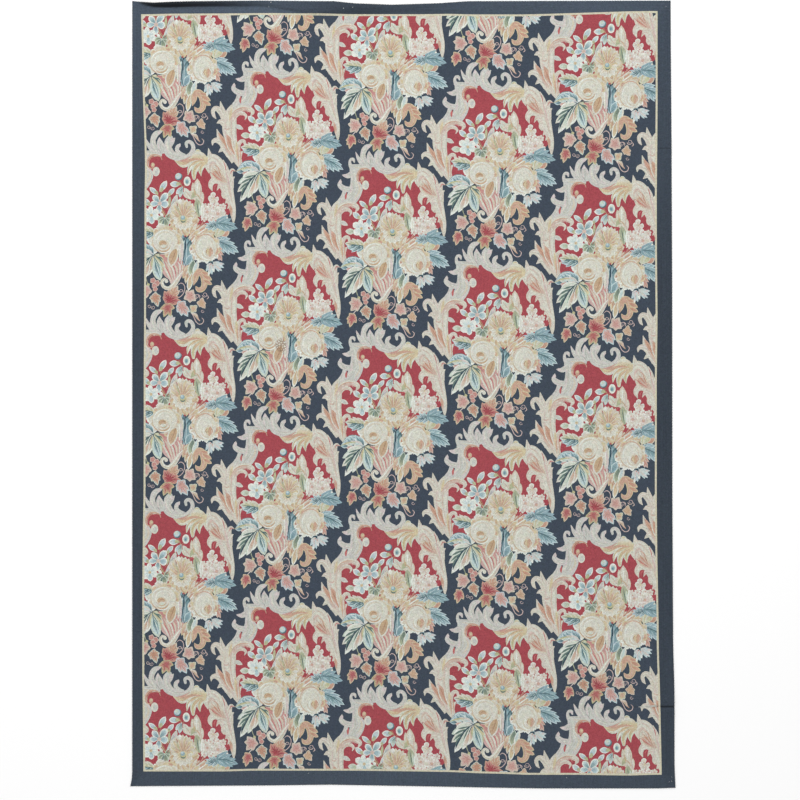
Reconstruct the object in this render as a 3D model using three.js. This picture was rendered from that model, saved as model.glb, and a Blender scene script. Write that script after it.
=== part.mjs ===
// A flat floral needlework rug, laid face up: one thick cloth with its rim turned under.
// Millimetres, +Z up. +X runs across the rug, +Y along it towards the end with the curled rim.
// The origin is at the middle of the surface that the rug lies on.
import * as THREE from 'three';

const rugWidth = 2744;
const rugLength = 3980;
const clothThickness = 3;
const borderWidth = 70;
const slate = 0x48525f;
const woolRoughness = 0.95;

// The rim wanders: how far it lies outside (+) or inside (-) the true rectangle, at places along it.
const leftRim = [
  { at: -1990, out: 10 },
  { at: -1965, out: 3 },
  { at: -1930, out: 0 },
  { at: 1990, out: 0 },
];
const rightRim = [
  { at: -1990, out: 10 },
  { at: -1873, out: 5 },
  { at: -1468, out: 4 },
  { at: -1265, out: -2 },
  { at: -535, out: -6 },
  { at: 560, out: -7 },
  { at: 1371, out: -11 },
  { at: 1757, out: -14 },
  { at: 1990, out: -15 },
];
const topRim = [
  { at: -1372, out: 5 },
  { at: -1256, out: -6 },
  { at: -1079, out: 0 },
  { at: -714, out: 5 },
  { at: -339, out: 4 },
  { at: -233, out: -8 },
  { at: -50, out: -15 },
  { at: 193, out: -6 },
  { at: 335, out: 4 },
  { at: 1372, out: 7 },
];
const bottomRim = [
  { at: -1372, out: -4 },
  { at: -699, out: -8 },
  { at: -370, out: -12 },
  { at: 137, out: -3 },
  { at: 492, out: 4 },
  { at: 695, out: 7 },
  { at: 1278, out: 7 },
  { at: 1372, out: 4 },
];
// The rim's wander dies away over this distance into the cloth.
const wanderDepth = 2.5 * borderWidth;

// The top rim curls up, then turns into a low fold that dies out past the middle.
// foot and crest are distances in from the rim, where the rise starts and where it is highest.
const rimCurl = [
  { at: -1350, foot: 12, crest: 4, crestRise: 0, rimRise: 0 },
  { at: -1277, foot: 18, crest: 4, crestRise: 13, rimRise: 14 },
  { at: -1171, foot: 25, crest: 4, crestRise: 17, rimRise: 19 },
  { at: -998, foot: 30, crest: 5, crestRise: 14, rimRise: 16 },
  { at: -684, foot: 33, crest: 6, crestRise: 9, rimRise: 10 },
  { at: -628, foot: 37, crest: 28, crestRise: 9, rimRise: 7 },
  { at: -577, foot: 45, crest: 36, crestRise: 10, rimRise: 5 },
  { at: -507, foot: 56, crest: 46, crestRise: 11, rimRise: 3 },
  { at: -451, foot: 66, crest: 54, crestRise: 12, rimRise: 2 },
  { at: -390, foot: 69, crest: 50, crestRise: 13, rimRise: 1 },
  { at: -324, foot: 69, crest: 37, crestRise: 13, rimRise: 2 },
  { at: -233, foot: 64, crest: 22, crestRise: 12, rimRise: 5 },
  { at: -162, foot: 58, crest: 12, crestRise: 10, rimRise: 7 },
  { at: -50, foot: 52, crest: 6, crestRise: 7, rimRise: 6 },
  { at: 80, foot: 40, crest: 6, crestRise: 2, rimRise: 2 },
  { at: 200, foot: 30, crest: 6, crestRise: 0, rimRise: 0 },
];

// Two creases run in from the right rim: a sharp one low down, and a faint one high up.
const creases = [
  { at: -1574, rise: 5, reach: 22, startsAt: 1150, fullAt: 1290 },
  { at: 1240, rise: 2.5, reach: 14, startsAt: 1290, fullAt: 1350 },
];

const fadeSmoothly = (t) => {
  const s = Math.min(1, Math.max(0, t));
  return s * s * (3 - 2 * s);
};

// The named column of a table at a place between two of its rows.
function tableValue(rows, column, place) {
  if (place <= rows[0].at) return rows[0][column];
  for (let i = 1; i < rows.length; i += 1) {
    const [before, after] = [rows[i - 1], rows[i]];
    if (place <= after.at) {
      const share = (place - before.at) / (after.at - before.at);
      return before[column] + share * (after[column] - before[column]);
    }
  }
  return rows[rows.length - 1][column];
}

// Where a point of the true rectangle lies in the real, wandering cloth.
function wander(x, y) {
  const near = (room) => 1 - fadeSmoothly(room / wanderDepth);
  const [right, left] = [near(rugWidth / 2 - x), near(rugWidth / 2 + x)];
  const [top, bottom] = [near(rugLength / 2 - y), near(rugLength / 2 + y)];
  return [
    x + right * tableValue(rightRim, 'out', y) - left * tableValue(leftRim, 'out', y),
    y + top * tableValue(topRim, 'out', x) - bottom * tableValue(bottomRim, 'out', x),
  ];
}

function curlHeight(x, inFromRim) {
  const [foot, crest] = ['foot', 'crest'].map((column) => tableValue(rimCurl, column, x));
  const crestRise = tableValue(rimCurl, 'crestRise', x);
  const rimRise = tableValue(rimCurl, 'rimRise', x);
  if (inFromRim >= foot) return 0;
  if (inFromRim >= crest) return (crestRise * (foot - inFromRim)) / (foot - crest);
  return rimRise + ((crestRise - rimRise) * inFromRim) / crest;
}

// A crease is a sharp valley between two low swells that die away from it.
function creaseHeight(x, y) {
  return creases.reduce((height, crease) => {
    const away = Math.abs(y - crease.at) / crease.reach;
    const strength = fadeSmoothly((x - crease.startsAt) / (crease.fullAt - crease.startsAt));
    return height + strength * crease.rise * away * Math.exp(1 - away);
  }, 0);
}

const undersideHeight = (x, y) => curlHeight(x, rugLength / 2 - y) + creaseHeight(x, y);

// Columns stand closest where the rim curls and where the creases come in.
const columnPlaces = [
  -rugWidth / 2,
  ...rimCurl.map((row) => row.at),
  -1224, -1085, -841, -735,
  335, 650, 1010,
  ...[1150, 1220, 1290, 1330, 1350, rugWidth / 2],
].sort((a, b) => a - b);

// Distances in from the top rim where every column has a point, besides its own foot and crest.
const bandInner = 1.35 * borderWidth;

const creaseSteps = [-4, -2, -1, -0.4, 0, 0.4, 1, 2, 4];
const rowPlaces = [
  1757, 1371, 560, -535, -1265, -1468, -1873, -1930, -1965, -rugLength / 2,
  ...creases.flatMap((crease) => creaseSteps.map((step) => crease.at + step * crease.reach)),
].sort((a, b) => b - a);

// Rows of one column, from the top rim down: the curl's own points first, then the shared rows.
function columnRows(x) {
  const foot = tableValue(rimCurl, 'foot', x);
  const crest = tableValue(rimCurl, 'crest', x);
  const insets = [0, crest, (crest + foot) / 2, foot, (foot + 2 * bandInner) / 3, bandInner];
  return [...insets.map((inset) => rugLength / 2 - inset), ...rowPlaces];
}

// Upper and lower skins on one grid, closed by a wall round the rim.
function layCloth() {
  const columns = columnPlaces.map((x) => columnRows(x).map((y) => ({ x, y })));
  const [across, along] = [columns.length, columns[0].length];
  const positions = [];
  for (const lift of [0, clothThickness]) {
    for (const column of columns) {
      for (const { x, y } of column) {
        positions.push(...wander(x, y), lift + undersideHeight(x, y));
      }
    }
  }
  const under = (i, j) => i * along + j;
  const over = (i, j) => across * along + under(i, j);
  const faces = [];
  const addQuad = (a, b, c, d) => faces.push(a, b, c, a, c, d);
  for (let i = 0; i + 1 < across; i += 1) {
    for (let j = 0; j + 1 < along; j += 1) {
      addQuad(over(i, j), over(i, j + 1), over(i + 1, j + 1), over(i + 1, j));
      addQuad(under(i, j), under(i + 1, j), under(i + 1, j + 1), under(i, j + 1));
    }
    addQuad(under(i, 0), over(i, 0), over(i + 1, 0), under(i + 1, 0));
    addQuad(over(i, along - 1), under(i, along - 1), under(i + 1, along - 1), over(i + 1, along - 1));
  }
  for (let j = 0; j + 1 < along; j += 1) {
    addQuad(under(0, j), under(0, j + 1), over(0, j + 1), over(0, j));
    addQuad(over(across - 1, j), over(across - 1, j + 1), under(across - 1, j + 1), under(across - 1, j));
  }
  const cloth = new THREE.BufferGeometry();
  cloth.setAttribute('position', new THREE.Float32BufferAttribute(positions, 3));
  cloth.setIndex(faces);
  cloth.computeVertexNormals();
  return cloth;
}

const rug = new THREE.Mesh(
  layCloth(),
  new THREE.MeshStandardMaterial({ color: slate, roughness: woolRoughness, metalness: 0 }),
);
rug.name = 'rug';

const object = new THREE.Group();
object.add(rug);

export default object;
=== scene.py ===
import math
import bpy
import numpy as np
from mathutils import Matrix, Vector
from mathutils.geometry import delaunay_2d_cdt


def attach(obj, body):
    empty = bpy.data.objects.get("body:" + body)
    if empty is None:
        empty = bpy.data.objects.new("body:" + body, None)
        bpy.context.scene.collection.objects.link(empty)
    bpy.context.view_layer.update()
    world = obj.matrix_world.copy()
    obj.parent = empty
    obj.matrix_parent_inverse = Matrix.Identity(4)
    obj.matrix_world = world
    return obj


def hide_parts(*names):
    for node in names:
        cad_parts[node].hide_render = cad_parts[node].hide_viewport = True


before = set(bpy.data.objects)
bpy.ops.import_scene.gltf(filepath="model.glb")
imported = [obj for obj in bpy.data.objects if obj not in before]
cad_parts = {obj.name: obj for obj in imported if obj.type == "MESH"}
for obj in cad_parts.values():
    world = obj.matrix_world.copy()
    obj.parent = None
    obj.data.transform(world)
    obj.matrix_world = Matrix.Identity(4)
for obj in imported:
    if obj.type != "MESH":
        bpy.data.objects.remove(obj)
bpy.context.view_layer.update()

# Shapes are drawn and laid out in millimetres, and go into metres when a mesh is made.
# +X runs across the rug, +Y along it towards the end with the curled rim, +Z up out of its face.
cloth = {
    "width": 2744, "length": 3980, "thickness": 3,
    "guardLeft": -1315, "guardRight": 1295, "guardTop": 1932, "guardBottom": -1918,
    "guardWidth": 9.5,
    "fieldBed": 2.2,      # the body's face under the worked field, below the field's own face
    "fieldUnder": 2.15,   # the underside of the field's strips
}
viewFrom = {"x": -0.0147, "y": -0.0279, "height": 9.58, "lens": 85}


def setStage():
    camera = bpy.data.objects.new("camera", bpy.data.cameras.new("camera"))
    camera.data.lens = viewFrom["lens"]
    camera.data.sensor_width = 36
    camera.location = (viewFrom["x"], viewFrom["y"], viewFrom["height"])
    bpy.context.collection.objects.link(camera)
    bpy.context.scene.camera = camera
    bpy.context.scene.view_settings.view_transform = "Standard"

    floorMesh = bpy.data.meshes.new("floor")
    reach = 12
    corners = [(-reach, -reach, 0), (reach, -reach, 0), (reach, reach, 0), (-reach, reach, 0)]
    floorMesh.from_pydata(corners, [], [(0, 1, 2, 3)])
    floor = bpy.data.objects.new("floor", floorMesh)
    bpy.context.collection.objects.link(floor)
    paint = bpy.data.materials.new("pale floor")
    paint.use_nodes = True
    shader = paint.node_tree.nodes["Principled BSDF"]
    shader.inputs["Base Color"].default_value = (0.985, 0.985, 0.985, 1)
    shader.inputs["Roughness"].default_value = 0.9
    floorMesh.materials.append(paint)

    world = bpy.data.worlds.new("studio")
    world.use_nodes = True
    world.node_tree.nodes["Background"].inputs["Color"].default_value = (1, 1, 1, 1)
    world.node_tree.nodes["Background"].inputs["Strength"].default_value = lamps["skyStrength"]
    bpy.context.scene.world = world

    lamp = bpy.data.lights.new("soft box", "AREA")
    lamp.shape = "RECTANGLE"
    lamp.size = lamps["boxWidth"]
    lamp.size_y = lamps["boxDepth"]
    lamp.energy = lamps["boxPower"]
    box = bpy.data.objects.new("soft box", lamp)
    box.location = lamps["boxAt"]
    box.rotation_euler = Vector(lamps["boxAt"]).to_track_quat("Z", "Y").to_euler()
    bpy.context.collection.objects.link(box)


lamps = {"skyStrength": 0.81, "boxWidth": 7, "boxDepth": 4, "boxPower": 350, "boxAt": (-1.5, 5.6, 7.8)}
setStage()
print("camera, floor and light are set")

# How far each rim lies outside (+) or inside (-) the true rectangle: (place along it, out)
rimOut = {
    "left": [(-1990, 10), (-1965, 3), (-1930, 0), (1990, 0)],
    "right": [(-1990, 10), (-1873, 5), (-1468, 4), (-1265, -2), (-535, -6), (560, -7), (1371, -11),
        (1757, -14), (1990, -15)],
    "top": [(-1372, 5), (-1256, -6), (-1079, 0), (-714, 5), (-339, 4), (-233, -8), (-50, -15), (193, -6),
        (335, 4), (1372, 7)],
    "bottom": [(-1372, -4), (-699, -8), (-370, -12), (137, -3), (492, 4), (695, 7), (1278, 7), (1372, 4)],
}
# Where the guard stripe's outer line runs: (place along it, its own coordinate)
guardLine = {
    "left": [(-1894, -1316), (-1742, -1317), (-1590, -1319), (-1437, -1321), (-981, -1321), (-677, -1318),
        (-525, -1315), (-221, -1314), (84, -1314), (388, -1312), (540, -1312), (692, -1310), (996, -1310),
        (1148, -1307), (1300, -1310), (1453, -1316), (1605, -1321), (1757, -1322), (1909, -1327)],
    "right": [(-1894, 1312), (-1742, 1309), (-1590, 1305), (-1437, 1302), (-1285, 1297), (-1133, 1296),
        (-981, 1293), (-829, 1290), (-525, 1287), (84, 1287), (388, 1291), (692, 1288), (996, 1287),
        (1300, 1290), (1453, 1291), (1909, 1291)],
    "top": [(-1282, 1928), (-1155, 1931), (-902, 1932), (-648, 1934), (-395, 1931), (-268, 1928),
        (112, 1928), (239, 1930), (366, 1927), (619, 1927), (746, 1930), (873, 1934), (999, 1938),
        (1126, 1942), (1253, 1944)],
    "bottom": [(-1282, -1911), (-902, -1911), (-775, -1907), (-268, -1907), (-15, -1910), (112, -1912),
        (239, -1914), (366, -1920), (492, -1923), (619, -1928), (873, -1928), (999, -1930), (1126, -1932),
        (1253, -1928)],
}
# The top rim curls up, then turns into a low fold. Foot and crest are distances in from the rim.
rimCurl = np.array([
    # place, foot, crest, rise at the crest, rise at the rim
    (-1350, 12, 4, 0, 0), (-1277, 18, 4, 13, 14), (-1171, 25, 4, 17, 19), (-998, 30, 5, 14, 16),
    (-684, 33, 6, 9, 10), (-628, 37, 28, 9, 7), (-577, 45, 36, 10, 5), (-507, 56, 46, 11, 3),
    (-451, 66, 54, 12, 2), (-390, 69, 50, 13, 1), (-324, 69, 37, 13, 2), (-233, 64, 22, 12, 5),
    (-162, 58, 12, 10, 7), (-50, 52, 6, 7, 6), (80, 40, 6, 2, 2), (200, 30, 6, 0, 0),
])
# Each crease also has painted shade along its foot: how dark it is, and from where across the rug it shows
creases = [
    {"at": -1574, "rise": 5, "reach": 22, "startsAt": 1150, "fullAt": 1290, "line": 0.5, "shadeFrom": 980},
    {"at": 1240, "rise": 2.5, "reach": 14, "startsAt": 1290, "fullAt": 1350, "line": 0.2, "shadeFrom": 1200},
]
# Where the cloth and the field are cut so that they can bend at a crease, in shares of its reach
creaseCuts = (-4, -2.5, -1.5, -0.8, -0.35, 0, 0.35, 0.8, 1.5, 2.5, 4)
creaseEnd = 1400    # beyond the right rim: the cuts reach this far across
creaseShadeHalf = 2      # half the width of the painted shade line at a crease's foot


def fade(t):
    s = np.clip(t, 0, 1)
    return s * s * (3 - 2 * s)


def along(rows, place):
    rows = np.array(rows, float)
    return np.interp(place, rows[:, 0], rows[:, 1])


# How far a point of the true rectangle is shifted in the real cloth, along one axis.
def drift(own, other, lowSide, highSide, lowGuard, highGuard, half):
    lowRim = -along(rimOut[lowSide], other)
    highRim = along(rimOut[highSide], other)
    low = along(guardLine[lowSide], other) - lowGuard
    high = along(guardLine[highSide], other) - highGuard
    inner = low + (high - low) * np.clip((own - lowGuard) / (highGuard - lowGuard), 0, 1)
    toLow = np.clip((lowGuard - own) / (lowGuard + half), 0, 1)
    toHigh = np.clip((own - highGuard) / (half - highGuard), 0, 1)
    return inner + (lowRim - low) * toLow + (highRim - high) * toHigh


def settle(x, y):
    dx = drift(x, y, "left", "right", cloth["guardLeft"], cloth["guardRight"], cloth["width"] / 2)
    dy = drift(y, x, "bottom", "top", cloth["guardBottom"], cloth["guardTop"], cloth["length"] / 2)
    return x + dx, y + dy


def lift(x, y):
    inset = cloth["length"] / 2 - y
    foot, crest, crestRise, rimRise = (np.interp(x, rimCurl[:, 0], rimCurl[:, i]) for i in (1, 2, 3, 4))
    slope = crestRise * fade((foot - inset) / (foot - crest))
    lip = rimRise + (crestRise - rimRise) * fade(inset / crest)
    height = np.where(inset < crest, lip, slope)
    for crease in creases:
        away = np.abs(y - crease["at"]) / crease["reach"]
        strength = fade((x - crease["startsAt"]) / (crease["fullAt"] - crease["startsAt"]))
        height = height + strength * crease["rise"] * away * np.exp(1 - away)
    return height


# Painted shade: a dark line along the foot of a sharp crease, its shadow side.
def creaseShade(x, y):
    shade = np.ones(np.shape(x))
    for crease in creases:
        strength = fade((x - crease["shadeFrom"]) / (crease["fullAt"] - crease["shadeFrom"]))
        shade = shade - crease["line"] * strength * (np.abs(y - crease["at"]) < creaseShadeHalf)
    return shade


def toMetres(x, y, z):
    realX, realY = settle(x, y)
    return np.column_stack([realX, realY, z + lift(x, y)]) / 1000


def linear(tone):
    c = np.array(tone, float) / 255
    return np.where(c <= 0.04045, c / 12.92, ((c + 0.055) / 1.055) ** 2.4)


def makeMesh(name, points, faces, materials, faceMaterial=None, sharp=0.6):
    mesh = bpy.data.meshes.new(name)
    mesh.from_pydata(points.tolist(), [], faces)
    for material in materials:
        mesh.materials.append(material)
    if faceMaterial is not None:
        mesh.polygons.foreach_set("material_index", np.array(faceMaterial, np.int32))
    mesh.polygons.foreach_set("use_smooth", np.ones(len(mesh.polygons), bool))
    mesh.update()
    mesh.set_sharp_from_angle(angle=sharp)
    item = bpy.data.objects.new(name, mesh)
    bpy.context.collection.objects.link(item)
    return item


# Node trees
def addNode(tree, kind, **values):
    node = tree.nodes.new(kind)
    for name, value in values.items():
        if hasattr(node, name):
            setattr(node, name, value)
        else:
            node.inputs[name].default_value = value
    return node


def join(tree, source, target):
    tree.links.new(source, target)


def maths(tree, operation, first, second):
    node = addNode(tree, "ShaderNodeMath", operation=operation)
    for socket, value in zip(node.inputs, (first, second)):
        if isinstance(value, (int, float)):
            socket.default_value = value
        else:
            join(tree, value, socket)
    return node.outputs[0]


wool = {
    "stitch": 2.6,          # one stitch, millimetres
    "stitchTone": 0.34,     # how far single stitches differ in tone
    "patchTone": 0.30,      # and how far patches of a few stitches do
    "rowTone": 0.06,        # and whole rows
    "row": (14, 220),       # how often the rows change per metre, along X and along Y
    "dyeCast": 0.16,        # how far the dye leans to one colour or another in patches
    "bump": 0.5,
}


# How light or dark the yarn is from place to place: single stitches, rows and patches.
def yarnVariation(tree, place, row, rowTone):
    size = wool["stitch"] / 1000
    cells = addNode(tree, "ShaderNodeVectorMath", operation="SNAP")
    join(tree, place, cells.inputs[0])
    cells.inputs[1].default_value = (size, size, 1)
    single = addNode(tree, "ShaderNodeTexWhiteNoise", noise_dimensions="2D")
    join(tree, cells.outputs[0], single.inputs["Vector"])
    patch = addNode(tree, "ShaderNodeTexNoise", Scale=110.0, Detail=3.0, Roughness=0.65)
    join(tree, place, patch.inputs["Vector"])
    stretched = addNode(tree, "ShaderNodeMapping", vector_type="POINT")
    stretched.inputs["Scale"].default_value = (*row, 1)
    join(tree, place, stretched.inputs["Vector"])
    rows = addNode(tree, "ShaderNodeTexNoise", Scale=1.0, Detail=2.0)
    join(tree, stretched.outputs[0], rows.inputs["Vector"])
    total = 1.0
    for source, share in ((single.outputs["Value"], wool["stitchTone"]),
            (patch.outputs[0], wool["patchTone"] * 2), (rows.outputs[0], rowTone * 2)):
        centred = maths(tree, "SUBTRACT", source, 0.5)
        total = maths(tree, "ADD", total, maths(tree, "MULTIPLY", centred, share))
    return total


# Rings of a dried brown stain: small cells' outlines inside an oval
stain = {"at": (-0.618, 0.248, 0.0), "halfSize": (0.030, 0.038), "cell": 0.0125, "tone": (134, 108, 90)}


def addStain(tree, place, colour):
    moved = addNode(tree, "ShaderNodeVectorMath", operation="SUBTRACT")
    join(tree, place, moved.inputs[0])
    moved.inputs[1].default_value = stain["at"]
    oval = addNode(tree, "ShaderNodeVectorMath", operation="MULTIPLY")
    join(tree, moved.outputs[0], oval.inputs[0])
    oval.inputs[1].default_value = (1 / stain["halfSize"][0], 1 / stain["halfSize"][1], 0)
    length = addNode(tree, "ShaderNodeVectorMath", operation="LENGTH")
    join(tree, oval.outputs[0], length.inputs[0])
    inside = addNode(tree, "ShaderNodeMapRange", interpolation_type="SMOOTHSTEP")
    inside.inputs["From Min"].default_value = 1.05
    inside.inputs["From Max"].default_value = 0.8
    join(tree, length.outputs["Value"], inside.inputs["Value"])
    cells = addNode(tree, "ShaderNodeTexVoronoi", voronoi_dimensions="2D", feature="DISTANCE_TO_EDGE",
                    Scale=1 / stain["cell"], Randomness=0.8)
    join(tree, moved.outputs[0], cells.inputs["Vector"])
    ring = addNode(tree, "ShaderNodeMapRange", interpolation_type="SMOOTHSTEP")
    ring.inputs["From Min"].default_value = 0.26
    ring.inputs["From Max"].default_value = 0.08
    join(tree, cells.outputs["Distance"], ring.inputs["Value"])
    share = maths(tree, "MULTIPLY", inside.outputs[0], ring.outputs[0])
    stained = addNode(tree, "ShaderNodeMix", data_type="RGBA")
    join(tree, maths(tree, "MULTIPLY", share, 0.85), stained.inputs["Factor"])
    join(tree, colour, stained.inputs[6])
    stained.inputs[7].default_value = (*linear(stain["tone"]), 1)
    return stained.outputs[2]


def stitchBump(tree, place, shader):
    size = wool["stitch"] / 1000
    scaled = addNode(tree, "ShaderNodeMapping", vector_type="POINT")
    scaled.inputs["Scale"].default_value = (1 / size, 1 / size, 1)
    scaled.inputs["Rotation"].default_value = (0, 0, 0.6)
    join(tree, place, scaled.inputs["Vector"])
    cells = addNode(tree, "ShaderNodeTexVoronoi", feature="F1", Scale=1.0, Randomness=0.35)
    join(tree, scaled.outputs[0], cells.inputs["Vector"])
    height = maths(tree, "SUBTRACT", 1.0, cells.outputs["Distance"])
    bump = addNode(tree, "ShaderNodeBump", Strength=wool["bump"], Distance=0.0006)
    join(tree, height, bump.inputs["Height"])
    join(tree, bump.outputs["Normal"], shader.inputs["Normal"])


def woolMaterial(name, tone=None, attribute=None, row=None, rowTone=None, stained=False):
    material = bpy.data.materials.new(name)
    material.use_nodes = True
    tree = material.node_tree
    shader = tree.nodes["Principled BSDF"]
    shader.inputs["Roughness"].default_value = 0.95
    shader.inputs["Specular IOR Level"].default_value = 0.15
    shader.inputs["Sheen Weight"].default_value = 0.03
    place = addNode(tree, "ShaderNodeTexCoord").outputs["Object"]
    toneDrift = addNode(tree, "ShaderNodeTexNoise", Scale=75.0, Detail=2.0)
    join(tree, place, toneDrift.inputs["Vector"])
    cast = addNode(tree, "ShaderNodeVectorMath", operation="MULTIPLY_ADD")
    join(tree, toneDrift.outputs["Color"], cast.inputs[0])
    cast.inputs[1].default_value = (wool["dyeCast"],) * 3
    cast.inputs[2].default_value = (1 - wool["dyeCast"] / 2,) * 3
    tinted = addNode(tree, "ShaderNodeVectorMath", operation="MULTIPLY")
    join(tree, cast.outputs[0], tinted.inputs[1])
    if attribute:
        colour = addNode(tree, "ShaderNodeVertexColor", layer_name=attribute).outputs["Color"]
        join(tree, addStain(tree, place, colour) if stained else colour, tinted.inputs[0])
    else:
        tinted.inputs[0].default_value = linear(tone)
    scaled = addNode(tree, "ShaderNodeVectorMath", operation="SCALE")
    join(tree, tinted.outputs[0], scaled.inputs[0])
    variation = yarnVariation(tree, place, row or wool["row"], rowTone or wool["rowTone"])
    join(tree, variation, scaled.inputs["Scale"])
    join(tree, scaled.outputs[0], shader.inputs["Base Color"])
    stitchBump(tree, place, shader)
    return material


# The repeat is charted on squared paper: x to the right, y down, forty squares to the inch.
chart = {
    "square": 0.635,                 # one square of the chart, millimetres
    "acrossStep": (857.5, 776.1),    # to the same motif one column to the right, lower down
    "downStep": (6.4, 1432.4),       # to the same motif one row down
    "anchor": (-978.75, 911.1),      # where the chart's corner lies on the rug, millimetres
    "cellStart": (120.0, 40.0),
    "strips": 5,
    "slack": 0.8,                    # how far a thinned line may stray, in squares
    "shortest": 0.5,                 # a line between two kept points, from this
    "longest": 60,                   # to this
    "snap": 0.02,                    # points nearer than this become one
    "sliver": 0.01,                  # least height of a triangle, as a share of its longest side
    "speck": 0.002,                  # least double area of a triangle
}

# Yarn tones, red green blue out of 255
yarn = {
    "navy": (62, 71, 83), "navyDark": (48, 55, 66), "red": (156, 72, 79), "redDark": (130, 55, 63),
    "redLight": (176, 100, 99), "cream": (200, 200, 188), "white": (212, 216, 208),
    "ivory": (195, 188, 171), "stone": (178, 178, 168), "stoneDark": (158, 159, 152),
    "frame": (195, 191, 178), "blush": (190, 171, 159), "lilac": (197, 187, 184),
    "lilacGrey": (186, 188, 182), "pinkish": (194, 174, 168), "gold": (194, 182, 151),
    "goldDark": (180, 156, 124), "tan": (183, 158, 132), "brown": (162, 130, 107),
    "peach": (186, 153, 134), "peachDark": (176, 134, 115), "rosePink": (184, 144, 134),
    "shellPink": (180, 129, 124), "shellRed": (162, 96, 97), "ice": (178, 196, 198),
    "sky": (138, 163, 170), "teal": (112, 140, 145), "tealDark": (80, 103, 109), "pine": (98, 117, 110),
    "mint": (188, 199, 186), "sage": (160, 166, 140), "olive": (178, 176, 138), "inkTeal": (58, 76, 86),
}

shapes = []


def lay(points, tone, endTone=None, run=None):
    shapes.append({"points": np.array(points, float), "tone": tone, "endTone": endTone or tone, "run": run})


def smoothLine(points, steps, closed=False):
    p = np.array(points, float)
    p = np.vstack([p[-1], p, p[0], p[1]]) if closed else np.vstack([2 * p[0] - p[1], p, 2 * p[-1] - p[-2]])
    t = np.linspace(0, 1, steps, endpoint=False)[:, None]
    spans = []
    for a, b, c, d in zip(p, p[1:], p[2:], p[3:]):
        bend, turn = 2 * a - 5 * b + 4 * c - d, 3 * b - a - 3 * c + d
        spans.append(0.5 * (2 * b + (c - a) * t + bend * t**2 + turn * t**3))
    line = np.vstack(spans)
    return line if closed else np.vstack([line, p[-2]])


def ribbonEdge(points, widths, shift=0.0, share=1.0, steps=5):
    line = smoothLine(np.column_stack([points, widths]), steps)
    spine, wide = line[:, :2], np.maximum(line[:, 2:3], 0.6)
    along = np.gradient(spine, axis=0)
    along /= np.linalg.norm(along, axis=1)[:, None] + 1e-9
    side = np.column_stack([-along[:, 1], along[:, 0]])
    middle = spine + side * wide * shift
    half = wide * share / 2
    left, right = middle + side * half, middle - side * half
    cap = []
    if wide[-1, 0] * share > 5:
        turns = np.linspace(0, math.pi, 6)[1:-1, None]
        cap = [middle[-1] + half[-1] * (side[-1] * np.cos(turns) + along[-1] * np.sin(turns))]
    return np.vstack([left, *cap, right[::-1]])


def band(points, widths, body, rim=None, shade=None, light=None, steps=5):
    ends = (points[0], points[-1])
    lay(ribbonEdge(points, widths, steps=steps), rim or body)
    if rim:
        lay(ribbonEdge(points, widths, 0.03, 0.74, steps), body)
    if shade:
        lay(ribbonEdge(points, widths, -0.19, 0.26, steps), shade, body, ends)
    if light:
        lay(ribbonEdge(points, widths, 0.2, 0.22, steps), light)


def petalEdge(base, tip, width, bend=0.0, belly=0.55, blunt=0.75, steps=9):
    base, tip = np.array(base, float), np.array(tip, float)
    axis = tip - base
    side = np.array([-axis[1], axis[0]]) / (np.hypot(*axis) + 1e-9)
    t = np.linspace(0, 1, steps)[:, None]
    middle = base + axis * t + side * bend * np.sin(math.pi * t)
    half = width / 2 * np.sin(math.pi * t ** (math.log(0.5) / math.log(belly))) ** blunt
    return np.vstack([middle + side * half, (middle - side * half)[-2:0:-1]])


def petal(base, tip, width, body, rim=None, shade=None, bend=0.0, belly=0.55, blunt=0.75, streaks=0):
    base, tip = np.array(base, float), np.array(tip, float)
    if rim:
        lay(petalEdge(base, tip, width, bend, belly, blunt), rim)
    inBase, inTip = (base + (tip - base) * 0.05, tip - (tip - base) * 0.1) if rim else (base, tip)
    share = 0.72 if rim else 1.0
    lay(petalEdge(inBase, inTip, width * share, bend, belly, blunt), shade or body, body,
        (base, base + (tip - base) * 0.75))
    for i in range(streaks):
        lean = (i + 0.5) / streaks - 0.5
        across = np.array([-(tip - base)[1], (tip - base)[0]]) / (np.hypot(*(tip - base)) + 1e-9)
        reach = base + (tip - base) * (0.8 - 0.25 * abs(lean)) + across * lean * width * 0.62
        lay(petalEdge(base + (reach - base) * 0.12, reach, width * 0.07, bend * 0.7), shade or body)


def disc(centre, radius, tone, squash=1.0, turn=0.0, lobes=0, depth=0.0, steps=20):
    a = np.linspace(0, 2 * math.pi, steps, endpoint=False)
    r = radius * (1 + depth * np.cos(lobes * a))
    x, y = r * np.cos(a), r * np.sin(a) * squash
    c, s = math.cos(turn), math.sin(turn)
    lay(np.column_stack([centre[0] + x * c - y * s, centre[1] + x * s + y * c]), tone)


def around(centre, radius, degrees):
    a = math.radians(degrees)
    return np.array([centre[0] + radius * math.cos(a), centre[1] + radius * math.sin(a)])


def arc(centre, radius, start, end, width, tone, squash=1.0, taper=1.0):
    marks = np.linspace(start, end, 7)
    points = [around((0, 0), radius, m) * (1, squash) + centre for m in marks]
    swell = [width * (math.sin(math.pi * i / 6) ** taper if taper else 1) for i in range(7)]
    lay(ribbonEdge(points, swell, steps=3), tone)


def blossom(centre, radius, count, turn, body, rim, shade, heart, heartSize=0.2, wide=0.95, squash=1.0):
    for i in range(count):
        end = (around((0, 0), radius, turn + 360 * i / count) * (1, squash)) + centre
        petal(centre, end, radius * wide, body, rim, shade, belly=0.64, blunt=0.6)
    disc(centre, radius * heartSize, heart, steps=10)


def curlEnd(centre, radius, start, turns, width, tone, grow=0.35):
    count = max(4, int(abs(turns) * 10))
    points, widths = [], []
    for i in range(count + 1):
        t = i / count
        points.append(around(centre, radius * (1 - (1 - grow) * t), start + 360 * turns * t))
        widths.append(width * (1 - 0.45 * t))
    lay(ribbonEdge(points, widths, steps=2), tone)


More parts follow.
